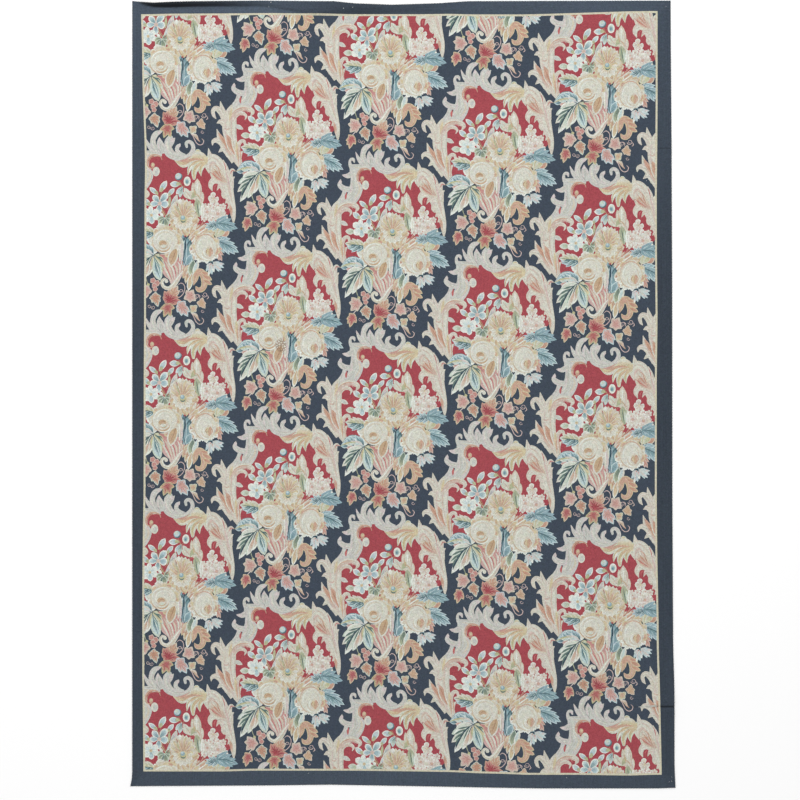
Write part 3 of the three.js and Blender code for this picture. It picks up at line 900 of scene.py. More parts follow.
def roses():
    # leaf that stands between the two blooms
    sheaf((640, 1190), [(600, 946), (628, 936), (668, 960), (690, 980)], 54, ("teal", "tealDark", "sky"),
            bend=4)
    petal((656, 1190), (700, 1096), 52, "sky", "ice", "teal", streaks=3)
    petal((644, 1196), (646, 970), 46, "teal", "ice", "tealDark", bend=-6, streaks=3)
    lay(ribbonEdge([(634, 948), (650, 1010), (644, 1090), (628, 1186)], [4, 12, 12, 3]), "inkTeal")
    lay(ribbonEdge([(650, 1060), (644, 1120), (632, 1184)], [3, 8, 3]), "sky")
    band([(556, 930), (600, 976), (614, 1050), (604, 1150)], [20, 44, 46, 10], "ivory", "cream", "stone",
            "white")
    lay(ribbonEdge([(606, 1000), (624, 1090), (614, 1186)], [4, 18, 4]), "lilac")
    # left bloom, on its ragged tan petals
    left = (484, 990)
    for i in range(6):
        petal(left, around(left, (146, 132, 150)[i % 3], 142 + 22 * i), 66, ("cream", "ivory")[i % 2],
                "white", "gold", belly=0.8, blunt=0.6, streaks=2)
    for i in range(11):
        petal(left, around(left, (136, 124, 142, 130)[i % 4], 206 + 23 * i), 62,
                ("gold", "peach", "ivory")[i % 3], ("ivory", "gold", "cream")[i % 3], "tan", belly=0.84,
                blunt=0.5, streaks=2)
    rose(left, 103, 0.97, ((0.97, 60, 190, 8, "tan"), (0.95, 200, 330, 6, "gold"),
            (0.86, 170, 300, 8, "white"), (0.72, 190, 330, 9, "ivory"), (0.58, 150, 280, 7, "white"),
            (0.56, -70, 40, 7, "ivory")))
    heart = (474, 1020)
    disc(heart, 44, "ivory", squash=0.86, steps=18)
    petal((500, 1010), (436, 1006), 46, "tan", "goldDark", blunt=0.5)
    disc((474, 1034), 24, "cream", squash=0.7, steps=12)
    disc((478, 1038), 11, "mint", squash=0.8, steps=8)
    for radius, start, end, width, tone in ((30, 0, 150, 8, "tan"), (42, 0, 160, 8, "cream"),
            (54, 0, 150, 13, "tan"), (66, 10, 130, 9, "white"), (78, 20, 120, 9, "ivory"),
            (22, 190, 330, 6, "brown")):
        arc(heart, radius, start, end, width, tone)
    petal((578, 1044), (528, 1200), 84, "tan", "cream", "goldDark", bend=6, belly=0.5, blunt=0.6)
    lay(ribbonEdge([(574, 1052), (560, 1100), (536, 1160)], [3, 8, 3]), "brown")
    # right bloom
    right = (812, 1042)
    petal((766, 1000), (684, 1086), 74, "peachDark", "cream", "tan", belly=0.6, blunt=0.55, streaks=2)
    petal((770, 1076), (712, 1140), 60, "peach", "ivory", "rosePink", belly=0.6, blunt=0.55, streaks=2)
    for i in range(9):
        petal(right, around(right, (134, 122, 138)[i % 3], 40 + 15 * i), 40, ("ivory", "cream")[i % 2],
                "white", "gold", belly=0.84, blunt=0.7, streaks=2)
    for i in range(9):
        petal(right, around(right, (122, 112, 128, 116)[i % 4], 186 + 24 * i), 60,
                ("gold", "ivory", "peach")[i % 3], ("ivory", "cream", "gold")[i % 3], "tan", belly=0.84,
                blunt=0.5, streaks=2)
    rose(right, 90, 1.2, ((0.96, 180, 340, 8, "peach"), (0.96, 100, 170, 6, "tan"),
            (0.86, 160, 280, 9, "ivory"), (0.7, 150, 260, 8, "white"), (0.68, -80, 40, 8, "ivory")))
    heart = (836, 1078)
    disc(heart, 42, "ivory", squash=1.1, steps=16)
    lay(petalEdge((846, 1120), (856, 1042), 34, -6, 0.5, 0.6), "peach")
    lay(petalEdge((834, 1106), (824, 1046), 30, 6, 0.5, 0.6), "gold")
    lay(petalEdge((842, 1110), (842, 1056), 16, 0, 0.5, 0.6), "tan")
    for radius, start, end, width, tone in ((20, 110, 270, 6, "brown"), (30, 100, 260, 9, "cream"),
            (40, 90, 280, 8, "white"), (42, -80, 60, 8, "cream"), (52, 60, 210, 9, "ivory"),
            (64, 60, 180, 8, "white"), (34, -60, 50, 5, "peachDark"), (50, -50, 40, 6, "stone")):
        arc(heart, radius, start, end, width, tone)


def paleSprig():
    petal((836, 1156), (880, 1190), 50, "inkTeal", "teal", "navyDark")
    tufts = (((852, 1164), ((822, 1206), (816, 1236), (836, 1270), (850, 1256), (866, 1262), (882, 1242),
            (890, 1216))), ((872, 1160), ((900, 1200), (924, 1238), (936, 1212), (948, 1232), (962, 1206),
            (948, 1186), (966, 1176), (934, 1166))))
    for base, tips in tufts:
        for i, tip in enumerate(tips):
            petal(base, tip, 23, ("lilac", "ice", "white")[i % 3], ("ice", None, None)[i % 3],
                    "lilacGrey", bend=3 - 3 * (i % 3), belly=0.6)
        for tip in tips[1::2]:
            lay(petalEdge(base, np.array(base) + (np.array(tip) - base) * 0.8, 5), "lilacGrey")
    lay(petalEdge((850, 1172), (842, 1214), 12), "lilac")
    for spot in ((856, 1176), (872, 1188)):
        disc(spot, 6, "rosePink", steps=7)


def lowerLeaves():
    # the small leaf inside the frame, over the left bloom's edge
    petal((392, 922), (256, 920), 82, "teal", "ice", "tealDark")
    lobedLeaf((386, 926), (240, 902), [(260, 942), (292, 972), (336, 974), (366, 956)], 34, "ice", "teal",
            "tealDark", "mint")
    lobedLeaf((386, 914), (240, 896), [(262, 868), (298, 858), (338, 864), (366, 884)], 34, "cream",
            "cream", "olive", "sage")
    lay(ribbonEdge([(386, 920), (330, 912), (250, 900)], [6, 7, 2]), "pine")
    # two small leaves and a blush petal that hide the frame's foot
    petal((396, 1108), (244, 1100), 62, "rosePink", "pinkish", "peach", bend=-8, streaks=3)
    band([(396, 1098), (346, 1050), (276, 1038), (203, 1092)], [8, 66, 58, 3], "white", "teal", "ice", "sky")
    lobedLeaf((388, 1084), (204, 1092), [(228, 1054), (248, 1022), (272, 1010), (320, 1004), (352, 1016)],
            40, "ice", "sky", "tealDark", "teal", 0.3)
    lobedLeaf((388, 1088), (236, 1074), [(284, 1050), (318, 1050)], 32, "cream", "mint", "ice", "olive")
    lay(ribbonEdge([(330, 1062), (264, 1066), (200, 1092)], [3, 12, 3]), "olive")
    lay(ribbonEdge([(388, 1090), (340, 1062), (280, 1052)], [5, 8, 2]), "lilac")
    # the large white-edged leaf
    sheaf((388, 1100), [(256, 1134), (218, 1190), (216, 1256), (238, 1336), (300, 1308), (350, 1268)], 58,
            ("cream", "white", "mint"))
    for points, width, tone in (([(388, 1100), (316, 1166), (262, 1262), (248, 1308)], 15, "inkTeal"),
            ([(360, 1120), (304, 1136), (268, 1146)], 16, "pine"),
            ([(340, 1140), (278, 1168), (240, 1192)], 18, "pine"),
            ([(318, 1166), (268, 1204), (232, 1240)], 17, "pine"),
            ([(296, 1200), (262, 1236), (248, 1278)], 13, "pine"),
            ([(366, 1120), (330, 1186), (306, 1262)], 12, "pine"),
            ([(330, 1170), (296, 1236), (268, 1296)], 15, "mint")):
        lay(ribbonEdge(points, [3] + [width] * (len(points) - 2) + [2]), tone)
    petal((386, 1108), (348, 1268), 46, "ivory", "white", "peach", bend=-6, streaks=3)
    petal((362, 1156), (306, 1306), 44, "cream", "white", "peach", bend=-4, streaks=3)
    petal((392, 1110), (380, 1200), 26, "olive", "sage", "gold")
    lay(ribbonEdge([(388, 1104), (364, 1150), (352, 1188)], [4, 8, 2]), "tealDark")
    # the narrower pair beside it
    sheaf((398, 1100), [(446, 1116), (478, 1150), (488, 1200), (470, 1240)], 40, ("mint", "olive", "gold"))
    for points, width, tone in (([(398, 1100), (440, 1130), (470, 1166)], 14, "pine"),
            ([(420, 1120), (450, 1122), (470, 1140)], 9, "tealDark")):
        lay(ribbonEdge(points, [3, width, 2]), tone)
    petal((398, 1112), (449, 1306), 76, "ice", "mint", "mint", bend=4, belly=0.6, blunt=0.65, streaks=3)
    for points, width, tone in (([(396, 1110), (414, 1190), (446, 1286)], 8, "tealDark"),
            ([(406, 1150), (408, 1200), (426, 1250)], 8, "teal"),
            ([(410, 1160), (438, 1200), (448, 1250)], 9, "teal"),
            ([(400, 1120), (424, 1160), (444, 1190)], 8, "pine")):
        lay(ribbonEdge(points, [3, width, 2]), tone)


def shell():
    rim = [(440, 1104), (500, 1096), (570, 1110), (622, 1150), (650, 1190), (636, 1236), (590, 1290),
            (556, 1336), (532, 1330), (520, 1300), (490, 1276), (466, 1240), (456, 1180)]
    lay(smoothLine(rim, 3, closed=True), "shellPink", "pinkish", ((520, 1100), (560, 1330)))
    for i, (start, middle, end) in enumerate((((454, 1150), (492, 1214), (536, 1316)),
            ((470, 1190), (500, 1240), (530, 1300)), ((486, 1150), (524, 1214), (552, 1310)),
            ((520, 1170), (552, 1222), (566, 1290)), ((556, 1170), (580, 1216), (584, 1270)),
            ((590, 1160), (608, 1200), (604, 1250)), ((612, 1160), (628, 1196), (620, 1236)))):
        lay(ribbonEdge([start, middle, end], [4, 15, 5]), ("ivory", "cream")[i % 2])
        lay(ribbonEdge([(p[0] + 12, p[1] - 5) for p in (start, middle, end)], [2, 6, 2]),
                ("rosePink", "redLight")[i % 2])
    band([(644, 1222), (598, 1282), (562, 1338), (518, 1369), (478, 1355), (463, 1319), (480, 1296),
            (502, 1302)], [8, 34, 40, 31, 27, 25, 21, 15], "ivory", "cream", "stone", "white")
    strand([(640, 1200), (596, 1266), (552, 1330)], [30, 40, 40], -0.5, 0.3, "pinkish")
    disc((499, 1312), 15, "cream", steps=12)


def tanScroll():
    sheaf((690, 1180), [(634, 1240), (630, 1292), (652, 1334), (668, 1290)], 36,
            ("ivory", "peach", "gold"), bend=4)
    for tip, tone in (((640, 1280), "peachDark"), ((656, 1316), "brown"), ((650, 1264), "cream")):
        lay(petalEdge((686, 1200), tip, 8), tone)
    petal((716, 1140), (690, 1276), 70, "sage", "mint", "pine", streaks=3)
    petal((744, 1150), (722, 1276), 46, "mint", "white", "ice", streaks=2)
    lay(ribbonEdge([(750, 1146), (752, 1190), (732, 1240)], [5, 15, 3]), "cream")
    petal((704, 1244), (675, 1392), 46, "gold", "white", "tan", streaks=2)
    petal((724, 1240), (706, 1330), 34, "ivory", "cream", "tan", streaks=2)
    # the hook, feathered along its outer side
    fronds([([(735, 1262), (762, 1238), (796, 1262), (806, 1310), (802, 1352), (782, 1380), (752, 1378),
            (734, 1352)], [44, 56, 62, 54, 48, 42, 36, 5]),
            ([(738, 1256), (732, 1300), (716, 1346)], [48, 38, 4])], "gold", "peach",
            [(-0.3, 0.14, "peach"), (-0.08, 0.12, "gold"), (0.14, 0.1, "blush"), (0.32, 0.1, "tan")])
    for base, tip, width in (((776, 1236), (848, 1268), 36), ((786, 1262), (866, 1304), 40),
            ((792, 1300), (868, 1340), 36)):
        petal(base, tip, width, "peach", "gold", "peachDark", streaks=2)


# A spray of small ivy leaves on one stem
def ivySpray():
    for spot, size in (((392, 1306), 23), ((424, 1326), 24), ((404, 1346), 22), ((410, 1373), 20)):
        disc(spot, size, "blush", lobes=5, depth=0.12, steps=20)
        disc(spot, size * 0.7, "shellPink", lobes=5, depth=0.12, steps=15)
        disc(spot, size * 0.28, "rosePink", steps=7)
    lay(ribbonEdge([(330, 1262), (338, 1300), (352, 1334)], [4, 6, 5]), "sage")
    disc((354, 1338), 12, "olive", steps=10)
    lay(ribbonEdge([(300, 1470), (326, 1444), (352, 1410)], [4, 7, 4]), "lilac")
    for start, end, tips, width, tones in (((336, 1386), (286, 1442),
            ((294, 1330), (271, 1374), (340, 1446), (386, 1392), (358, 1344), (322, 1334)), 44,
            ("ivory", "pinkish", "rosePink", "shellPink")),
            ((410, 1440), (434, 1516), ((414, 1396), (458, 1432), (362, 1446), (382, 1482), (454, 1474),
            (388, 1412)), 40, ("mint", "peach", "peachDark", "brown")),
            ((304, 1492), (279, 1574), ((274, 1458), (318, 1462), (252, 1506), (336, 1500), (334, 1538),
            (258, 1542)), 36, ("gold", "rosePink", "shellRed", "red")),
            ((548, 1424), (592, 1346), ((552, 1356), (606, 1388), (522, 1374)), 44,
            ("ivory", "peach", "peachDark", "tan")), ((520, 1464), (482, 1388),
            ((512, 1384), (470, 1436), (560, 1412), (598, 1436), (630, 1480), (584, 1498), (486, 1486)),
            46, ("peach", "shellPink", "red", "redDark")), ((512, 1516), (478, 1600),
            ((535, 1596), (447, 1536), (568, 1528), (552, 1500), (470, 1506), (506, 1574)), 40,
            ("olive", "peach", "shellRed", "red")), ((622, 1510), (621, 1592),
            ((576, 1524), (592, 1472), (652, 1470), (674, 1598), (690, 1560), (584, 1562)), 44,
            ("ice", "pinkish", "rosePink", "shellPink")), ((688, 1432), (717, 1380),
            ((658, 1384), (638, 1456), (737, 1470), (690, 1486), (732, 1420)), 42,
            ("ivory", "pinkish", "rosePink", "shellPink")),
            ((780, 1490), (790, 1442), ((820, 1490), (813, 1530), (742, 1484), (764, 1520)), 34,
            ("ivory", "peach", "tan", "goldDark")), ((716, 1532), (698, 1570),
            ((688, 1508), (748, 1506), (738, 1562)), 32, ("mint", "gold", "peach", "olive"))):
        lobedLeaf(start, end, tips, width * 1.12, *tones, lag=1.0, sharp=0.85, core=0.8)


def tendrils():
    for centre, radius, start, turns, width in (((616, 1392), 16, 30, -1.1, 5),
            ((364, 1510), 15, 0, 1.2, 4), ((394, 1520), 16, 180, -1.2, 4), ((746, 1434), 19, 90, 1.4, 5),
            ((808, 1420), 22, 170, -1.3, 5), ((790, 1552), 14, 10, 1.0, 4)):
        curlEnd(centre, radius, start, turns, width, "pinkish")
    for route in ([(594, 1342), (616, 1328), (640, 1342), (648, 1374), (634, 1414), (604, 1442),
            (580, 1448)], [(754, 1418), (768, 1432), (764, 1452)],
            [(830, 1424), (838, 1444), (824, 1456)], [(694, 1562), (716, 1590), (736, 1634), (762, 1656),
            (790, 1650), (800, 1624), (784, 1606)]):
        lay(ribbonEdge(route, [3] + [6] * (len(route) - 2) + [3], steps=4), "pinkish")
    lay(ribbonEdge([(706, 1566), (736, 1584), (752, 1612), (768, 1630)], [12, 26, 14, 6]), "cream",
            "peach", ((706, 1566), (768, 1630)))
    lay(ribbonEdge([(712, 1572), (736, 1592), (750, 1614)], [3, 8, 3]), "tan")


def drawRepeat():
    shapes.clear()
    for draw in (redGround, crest, leftFrame, rightFrame, goldLeaves, hydrangea, blueSpray, poppy,
            sideLeaves, shell, tanScroll, roses, paleSprig, lowerLeaves, tendrils, ivySpray):
        draw()
    return shapes


# The repeat: every shape of the chart becomes edges, the edges become triangles, and each triangle takes
# the tone of the topmost shape that holds it. Hidden edges are dropped, and what is left is done again.
def insideShape(points, edge):
    x, y = points[:, :1], points[:, 1:]
    x0, y0 = edge[:, 0], edge[:, 1]
    x1, y1 = np.roll(x0, -1), np.roll(y0, -1)
    turn = (x1 - x0) * (y - y0) - (x - x0) * (y1 - y0)
    up = (y0 <= y) & (y1 > y) & (turn > 0)
    down = (y0 > y) & (y1 <= y) & (turn < 0)
    return up.sum(axis=1) != down.sum(axis=1)


def cellPlace(points):
    a, b = (np.array(chart[name]) for name in ("acrossStep", "downStep"))
    d = points - np.array(chart["cellStart"])
    size = a[0] * b[1] - a[1] * b[0]
    return (d[..., 0] * b[1] - d[..., 1] * b[0]) / size, (a[0] * d[..., 1] - a[1] * d[..., 0]) / size


def piecesInCell():
    a, b = (np.array(chart[name]) for name in ("acrossStep", "downStep"))
    pieces = []
    for shape in shapes:
        for i in range(-3, 4):
            for j in range(-4, 5):
                shift = i * a + j * b
                edge = shape["points"] + shift
                u, v = cellPlace(edge)
                if u.max() > 0 and u.min() < 1 and v.max() > 0 and v.min() < 1:
                    run = None if shape["run"] is None else np.array(shape["run"], float) + shift
                    pieces.append({**shape, "edge": edge, "run": run})
    return pieces


def topmostPieces(centres, pieces):
    top = np.full(len(centres), -1)
    left = np.argsort(centres[:, 1])
    for index in range(len(pieces) - 1, -1, -1):
        edge = pieces[index]["edge"]
        low, high = edge.min(axis=0), edge.max(axis=0)
        heights = centres[left, 1]
        first, last = np.searchsorted(heights, (low[1], high[1]))
        near = left[first:last]
        near = near[(centres[near, 0] >= low[0]) & (centres[near, 0] <= high[0])]
        if len(near):
            near = near[top[near] < 0]
            top[near[insideShape(centres[near], edge)]] = index
            if index % 40 == 0:
                left = left[top[left] < 0]
    return top


def triangulate(points, edges):
    made = delaunay_2d_cdt([Vector(p) for p in points], edges, [], 0, chart["snap"])
    return np.array([tuple(v) for v in made[0]]), np.array(made[2])


# False for a sliver, which would grow or turn over when the cloth is pulled out of true
def isBroad(corners):
    sides = corners - np.roll(corners, 1, axis=1)
    longest = np.linalg.norm(sides, axis=2).max(axis=1)
    return np.abs(np.cross(sides[:, 0], sides[:, 1])) > np.maximum(chart["sliver"] * longest, chart["speck"])


def keepCell(points, faces):
    u, v = cellPlace(points[faces].mean(axis=1))
    return faces[(u > 0) & (u < 1) & (v > 0) & (v < 1)]


# Drops the points of the kept lines that stand nearly straight between their two neighbours.
def thinLines(points, edges, rounds=4):
    u, v = cellPlace(points)
    fixed = (np.minimum(np.abs(u), np.abs(u - 1)) < 1e-5) | (np.minimum(np.abs(v), np.abs(v - 1)) < 1e-5)
    edges = {tuple(e) for e in edges.tolist()}
    for _ in range(rounds):
        beside = {}
        for a, b in edges:
            beside.setdefault(a, []).append(b)
            beside.setdefault(b, []).append(a)
        locked = set()
        for spot, ends in beside.items():
            if len(ends) != 2 or fixed[spot] or spot in locked or locked & set(ends):
                continue
            a, b = points[ends[0]], points[ends[1]]
            way = b - a
            size = math.hypot(*way)
            off = points[spot] - a
            if size < chart["shortest"] or size > chart["longest"]:
                continue
            if abs(way[0] * off[1] - way[1] * off[0]) / size > chart["slack"]:
                continue
            edges.discard((min(spot, ends[0]), max(spot, ends[0])))
            edges.discard((min(spot, ends[1]), max(spot, ends[1])))
            edges.add((min(ends), max(ends)))
            locked.update((spot, *ends))
    return np.array(sorted(edges))


def cutRepeat():
    pieces = piecesInCell()
    a, b = (np.array(chart[name]) for name in ("acrossStep", "downStep"))
    start = np.array(chart["cellStart"])
    points = [start, start + a, start + a + b, start + b]
    edges = [(0, 1), (1, 2), (2, 3), (3, 0)]
    for piece in pieces:
        first, count = len(points), len(piece["edge"])
        points.extend(piece["edge"])
        edges.extend((first + i, first + (i + 1) % count) for i in range(count))
    points, faces = triangulate(points, edges)
    faces = keepCell(points, faces)
    top = topmostPieces(points[faces].mean(axis=1), pieces)
    looks = [(-1,)] + [(p["tone"],) if p["run"] is None or p["tone"] == p["endTone"] else (i,)
                       for i, p in enumerate(pieces)]
    numbers = {look: n for n, look in enumerate(dict.fromkeys(looks))}
    look = np.array([numbers[looks[t + 1]] for t in top])
    sides = np.sort(np.concatenate([faces[:, [0, 1]], faces[:, [1, 2]], faces[:, [2, 0]]]), axis=1)
    owner = np.tile(look, 3)
    order = np.lexsort((sides[:, 1], sides[:, 0]))
    sides, owner = sides[order], owner[order]
    same = (sides[1:] == sides[:-1]).all(axis=1)
    paired = np.zeros(len(sides), bool)
    paired[1:] |= same
    paired[:-1] |= same
    seen = sides[:-1][same & (owner[1:] != owner[:-1])]
    kept = thinLines(points, np.vstack([seen, sides[~paired]]))
    used, renamed = np.unique(kept, return_inverse=True)
    points, faces = triangulate(points[used], [tuple(e) for e in renamed.reshape(-1, 2).tolist()])
    faces = keepCell(points, faces)
    faces = faces[isBroad(points[faces])]
    top = topmostPieces(points[faces].mean(axis=1), pieces)
    tones = np.empty((len(faces), 3, 3))
    tones[:] = linear(yarn["navy"])
    for index in np.unique(top[top >= 0]):
        piece = pieces[index]
        mine = top == index
        first, last = linear(yarn[piece["tone"]]), linear(yarn[piece["endTone"]])
        if piece["run"] is None or piece["tone"] == piece["endTone"]:
            tones[mine] = first
            continue
        way = piece["run"][1] - piece["run"][0]
        share = ((points[faces[mine]] - piece["run"][0]) @ way / (way @ way)).clip(0, 1)
        tones[mine] = first + (last - first) * share[..., None]
    print("one repeat has", len(pieces), "shapes and", len(faces), "triangles")
    return points, faces, tones


def repeatObject():
    points, faces, tones = cutRepeat()
    square = chart["square"] / 1000
    placed = np.column_stack([chart["anchor"][0] / 1000 + points[:, 0] * square,
                              chart["anchor"][1] / 1000 - points[:, 1] * square, np.zeros(len(points))])
    corner = placed[faces]
    facing = np.cross(corner[:, 1] - corner[:, 0], corner[:, 2] - corner[:, 0])[:, 2] < 0
    faces[facing] = faces[facing][:, ::-1]
    tones[facing] = tones[facing][:, ::-1]
    item = makeMesh("repeat", placed, faces.tolist(), [])
    item.data.color_attributes.new("yarnTone", "FLOAT_COLOR", "CORNER")
    values = np.ones((len(faces) * 3, 4))
    values[:, :3] = tones.reshape(-1, 3)
    item.data.color_attributes["yarnTone"].data.foreach_set("color", values.ravel())
    return item


def addInputs(tree, sizes):
    tree.interface.new_socket(name="Geometry", in_out="INPUT", socket_type="NodeSocketGeometry")
    tree.interface.new_socket(name="Geometry", in_out="OUTPUT", socket_type="NodeSocketGeometry")
    for name, value in sizes.items():
        kind = "NodeSocketFloat"
        if isinstance(value, int):
            kind = "NodeSocketInt"
        elif isinstance(value, bpy.types.Material):
            kind = "NodeSocketMaterial"
        elif not isinstance(value, float):
            kind = "NodeSocketVector"
        tree.interface.new_socket(name=name, in_out="INPUT", socket_type=kind)


def applyTree(item, tree, sizes):
    step = item.modifiers.new(tree.name, "NODES")
    step.node_group = tree
    for socket in tree.interface.items_tree:
        if socket.item_type == "SOCKET" and socket.in_out == "INPUT" and socket.name in sizes:
            step[socket.identifier] = sizes[socket.name]
    ready = item.evaluated_get(bpy.context.evaluated_depsgraph_get())
    mesh = bpy.data.meshes.new_from_object(ready)
    item.modifiers.remove(step)
    return mesh


laying = {"columns": 9, "rows": 13, "weld": 0.00002}


# The drop repeat: a line of columns, each carrying a line of rows, and one repeat on every point in reach.
def dropRepeatTree(sizes):
    tree = bpy.data.node_groups.new("drop repeat", "GeometryNodeTree")
    addInputs(tree, sizes)
    given = addNode(tree, "NodeGroupInput")
    result = addNode(tree, "NodeGroupOutput")
    columns = addNode(tree, "GeometryNodeMeshLine", mode="OFFSET")
    rows = addNode(tree, "GeometryNodeMeshLine", mode="OFFSET")
    for line, count, step in ((columns, "Columns", "Across step"), (rows, "Rows", "Down step")):
        join(tree, given.outputs[count], line.inputs["Count"])
        join(tree, given.outputs[step], line.inputs["Offset"])
    join(tree, given.outputs["First corner"], columns.inputs["Start Location"])
    spread = addNode(tree, "GeometryNodeInstanceOnPoints")
    join(tree, columns.outputs["Mesh"], spread.inputs["Points"])
    join(tree, rows.outputs["Mesh"], spread.inputs["Instance"])
    corners = addNode(tree, "GeometryNodeRealizeInstances")
    join(tree, spread.outputs["Instances"], corners.inputs["Geometry"])
    place = addNode(tree, "GeometryNodeInputPosition")
    middle = addNode(tree, "ShaderNodeVectorMath", operation="ADD")
    join(tree, place.outputs[0], middle.inputs[0])
    join(tree, given.outputs["Repeat middle"], middle.inputs[1])
    away = addNode(tree, "ShaderNodeVectorMath", operation="ABSOLUTE")
    join(tree, middle.outputs[0], away.inputs[0])
    parts = addNode(tree, "ShaderNodeSeparateXYZ")
    join(tree, away.outputs[0], parts.inputs[0])
    tooWide = maths(tree, "GREATER_THAN", parts.outputs["X"], given.outputs["Half width"])
    tooLong = maths(tree, "GREATER_THAN", parts.outputs["Y"], given.outputs["Half length"])
    spare = addNode(tree, "GeometryNodeDeleteGeometry", domain="POINT")
    join(tree, corners.outputs["Geometry"], spare.inputs["Geometry"])
    join(tree, maths(tree, "ADD", tooWide, tooLong), spare.inputs["Selection"])
    tiles = addNode(tree, "GeometryNodeInstanceOnPoints")
    join(tree, spare.outputs["Geometry"], tiles.inputs["Points"])
    join(tree, given.outputs["Geometry"], tiles.inputs["Instance"])
    real = addNode(tree, "GeometryNodeRealizeInstances")
    join(tree, tiles.outputs["Instances"], real.inputs["Geometry"])
    merged = addNode(tree, "GeometryNodeMergeByDistance", Distance=laying["weld"])
    join(tree, real.outputs["Geometry"], merged.inputs["Geometry"])
    dressed = addNode(tree, "GeometryNodeSetMaterial")
    join(tree, merged.outputs["Geometry"], dressed.inputs["Geometry"])
    join(tree, given.outputs["Wool"], dressed.inputs["Material"])
    join(tree, dressed.outputs["Geometry"], result.inputs[0])
    return tree


# Hand work wanders: how far the pattern strays to +X and +Y at some places across,
# low down, halfway and high up the rug
wander = [(-1498, ((-1079, -3.5, 9), (-648, -9.4, 9.6), (-91, -16, 15), (452, -12, 12.7), (999, -5.6, 26))),
          (-129, ((-1079, 2.5, 1.5), (-648, -2, -1), (-91, -11, 14), (452, -6, 10), (999, -1, 16))),
          (1265, ((-1079, 6, 3.5), (-648, 2.5, 0), (-91, -14, 11.7), (452, -8.6, 10.6), (999, -0.8, 14.2)))]


def strayed(x, y):
    moved = []
    for axis in (1, 2):
        rows = [np.interp(x, [m[0] for m in marks], [m[axis] for m in marks]) for _, marks in wander]
        low, middle, high = (level for level, _ in wander)
        lower = rows[0] + (rows[1] - rows[0]) * np.clip((y - low) / (middle - low), 0, 1)
        moved.append(lower + (rows[2] - rows[1]) * np.clip((y - middle) / (high - middle), 0, 1))
    return moved


def laidField(fieldWool):
    square = chart["square"] / 1000
    across = np.array([chart["acrossStep"][0], -chart["acrossStep"][1], 0]) * square
    down = np.array([chart["downStep"][0], -chart["downStep"][1], 0]) * square
    columns, rows = laying["columns"], laying["rows"]
    first = -(columns // 2) * across - (rows // 2) * down
    start = np.array([chart["anchor"][0] / 1000 + chart["cellStart"][0] * square,
                      chart["anchor"][1] / 1000 - chart["cellStart"][1] * square, 0])
    middle = start + (across + down) / 2
    sizes = {
        "Across step": tuple(across), "Down step": tuple(down), "First corner": tuple(first),
        "Repeat middle": tuple(middle), "Columns": columns, "Rows": rows,
        "Half width": float(cloth["width"] / 2000 + abs(across[0] + down[0]) / 2),
        "Half length": float(cloth["length"] / 2000 + abs(across[1] + down[1]) / 2),
        "Wool": fieldWool,
    }
    item = repeatObject()
    tree = dropRepeatTree(sizes)
    mesh = applyTree(item, tree, sizes)
    bpy.data.objects.remove(item)
    points = np.empty(len(mesh.vertices) * 3)
    mesh.vertices.foreach_get("co", points)
    corners = np.empty(len(mesh.loops), np.int64)
    mesh.loops.foreach_get("vertex_index", corners)
    tones = np.empty(len(mesh.loops) * 4)
    mesh.color_attributes["yarnTone"].data.foreach_get("color", tones)
    soup = np.empty((len(corners) // 3, 3, 5))
    soup[..., :2] = points.reshape(-1, 3)[corners][:, :2].reshape(-1, 3, 2) * 1000
    soup[..., 2:] = tones.reshape(-1, 4)[:, :3].reshape(-1, 3, 3)
    bpy.data.meshes.remove(mesh)
    strayX, strayY = strayed(soup[..., 0], soup[..., 1])
    soup[..., 0] += strayX
    soup[..., 1] += strayY
    print("the laid field has", len(soup), "triangles before it is cut to size")
    return soup


# What lies on one side of a straight cut across the field
def cutAt(soup, axis, place, side):
    away = (soup[..., axis] - place) * side
    inside = away >= 0
    count = inside.sum(axis=1)
    parts = [soup[count == 3]]
    for want, lone in ((1, True), (2, False)):
        some = count == want
        if not some.any():
            continue
        first = np.argmax(inside[some] == lone, axis=1)
        order = (first[:, None] + np.arange(3)) % 3
        corner = np.take_along_axis(soup[some], order[..., None], axis=1)
        reach = np.take_along_axis(away[some], order, axis=1)
        ends = []
        for other in (1, 2):
            share = reach[:, 0] / (reach[:, 0] - reach[:, other])
            end = corner[:, 0] + (corner[:, other] - corner[:, 0]) * share[:, None]
            end[:, axis] = place
            ends.append(end)
        if lone:
            parts.append(np.stack([corner[:, 0], *ends], axis=1))
        else:
            parts.append(np.stack([ends[0], corner[:, 1], corner[:, 2]], axis=1))
            parts.append(np.stack([ends[0], corner[:, 2], ends[1]], axis=1))
    return np.concatenate(parts)


def sliceAt(soup, axis, place, room):
    far = (soup[..., axis].max(axis=1) <= place) | (soup[..., axis].min(axis=1) >= place)
    if room is not None:
        far |= ~((soup[..., 0].max(axis=1) > room[0]) & (soup[..., 0].min(axis=1) < room[1]))
    near = soup[~far]
    return np.concatenate([soup[far], cutAt(near, axis, place, 1), cutAt(near, axis, place, -1)])


def stripSides():
    inside = cloth["guardWidth"]
    sides = np.linspace(cloth["guardLeft"] + inside, cloth["guardRight"] - inside, chart["strips"] + 1)
    return sides, cloth["guardBottom"] + inside, cloth["guardTop"] - inside


strip = {
    "near": 0.01,           # a point this near a side lies on it, millimetres
    "underColumns": 9, "underRows": 60,
    "shelves": 3,           # its bake map stands in this many shelves side by side
    "shelfGap": 1.02,
    "underPlace": 3.2,      # where the underside lies on the map, in widths
    "mapWidth": 3.4,
    "underSqueeze": 40,     # the plain underside takes this much less of the map
    "mapMargin": 6,
}


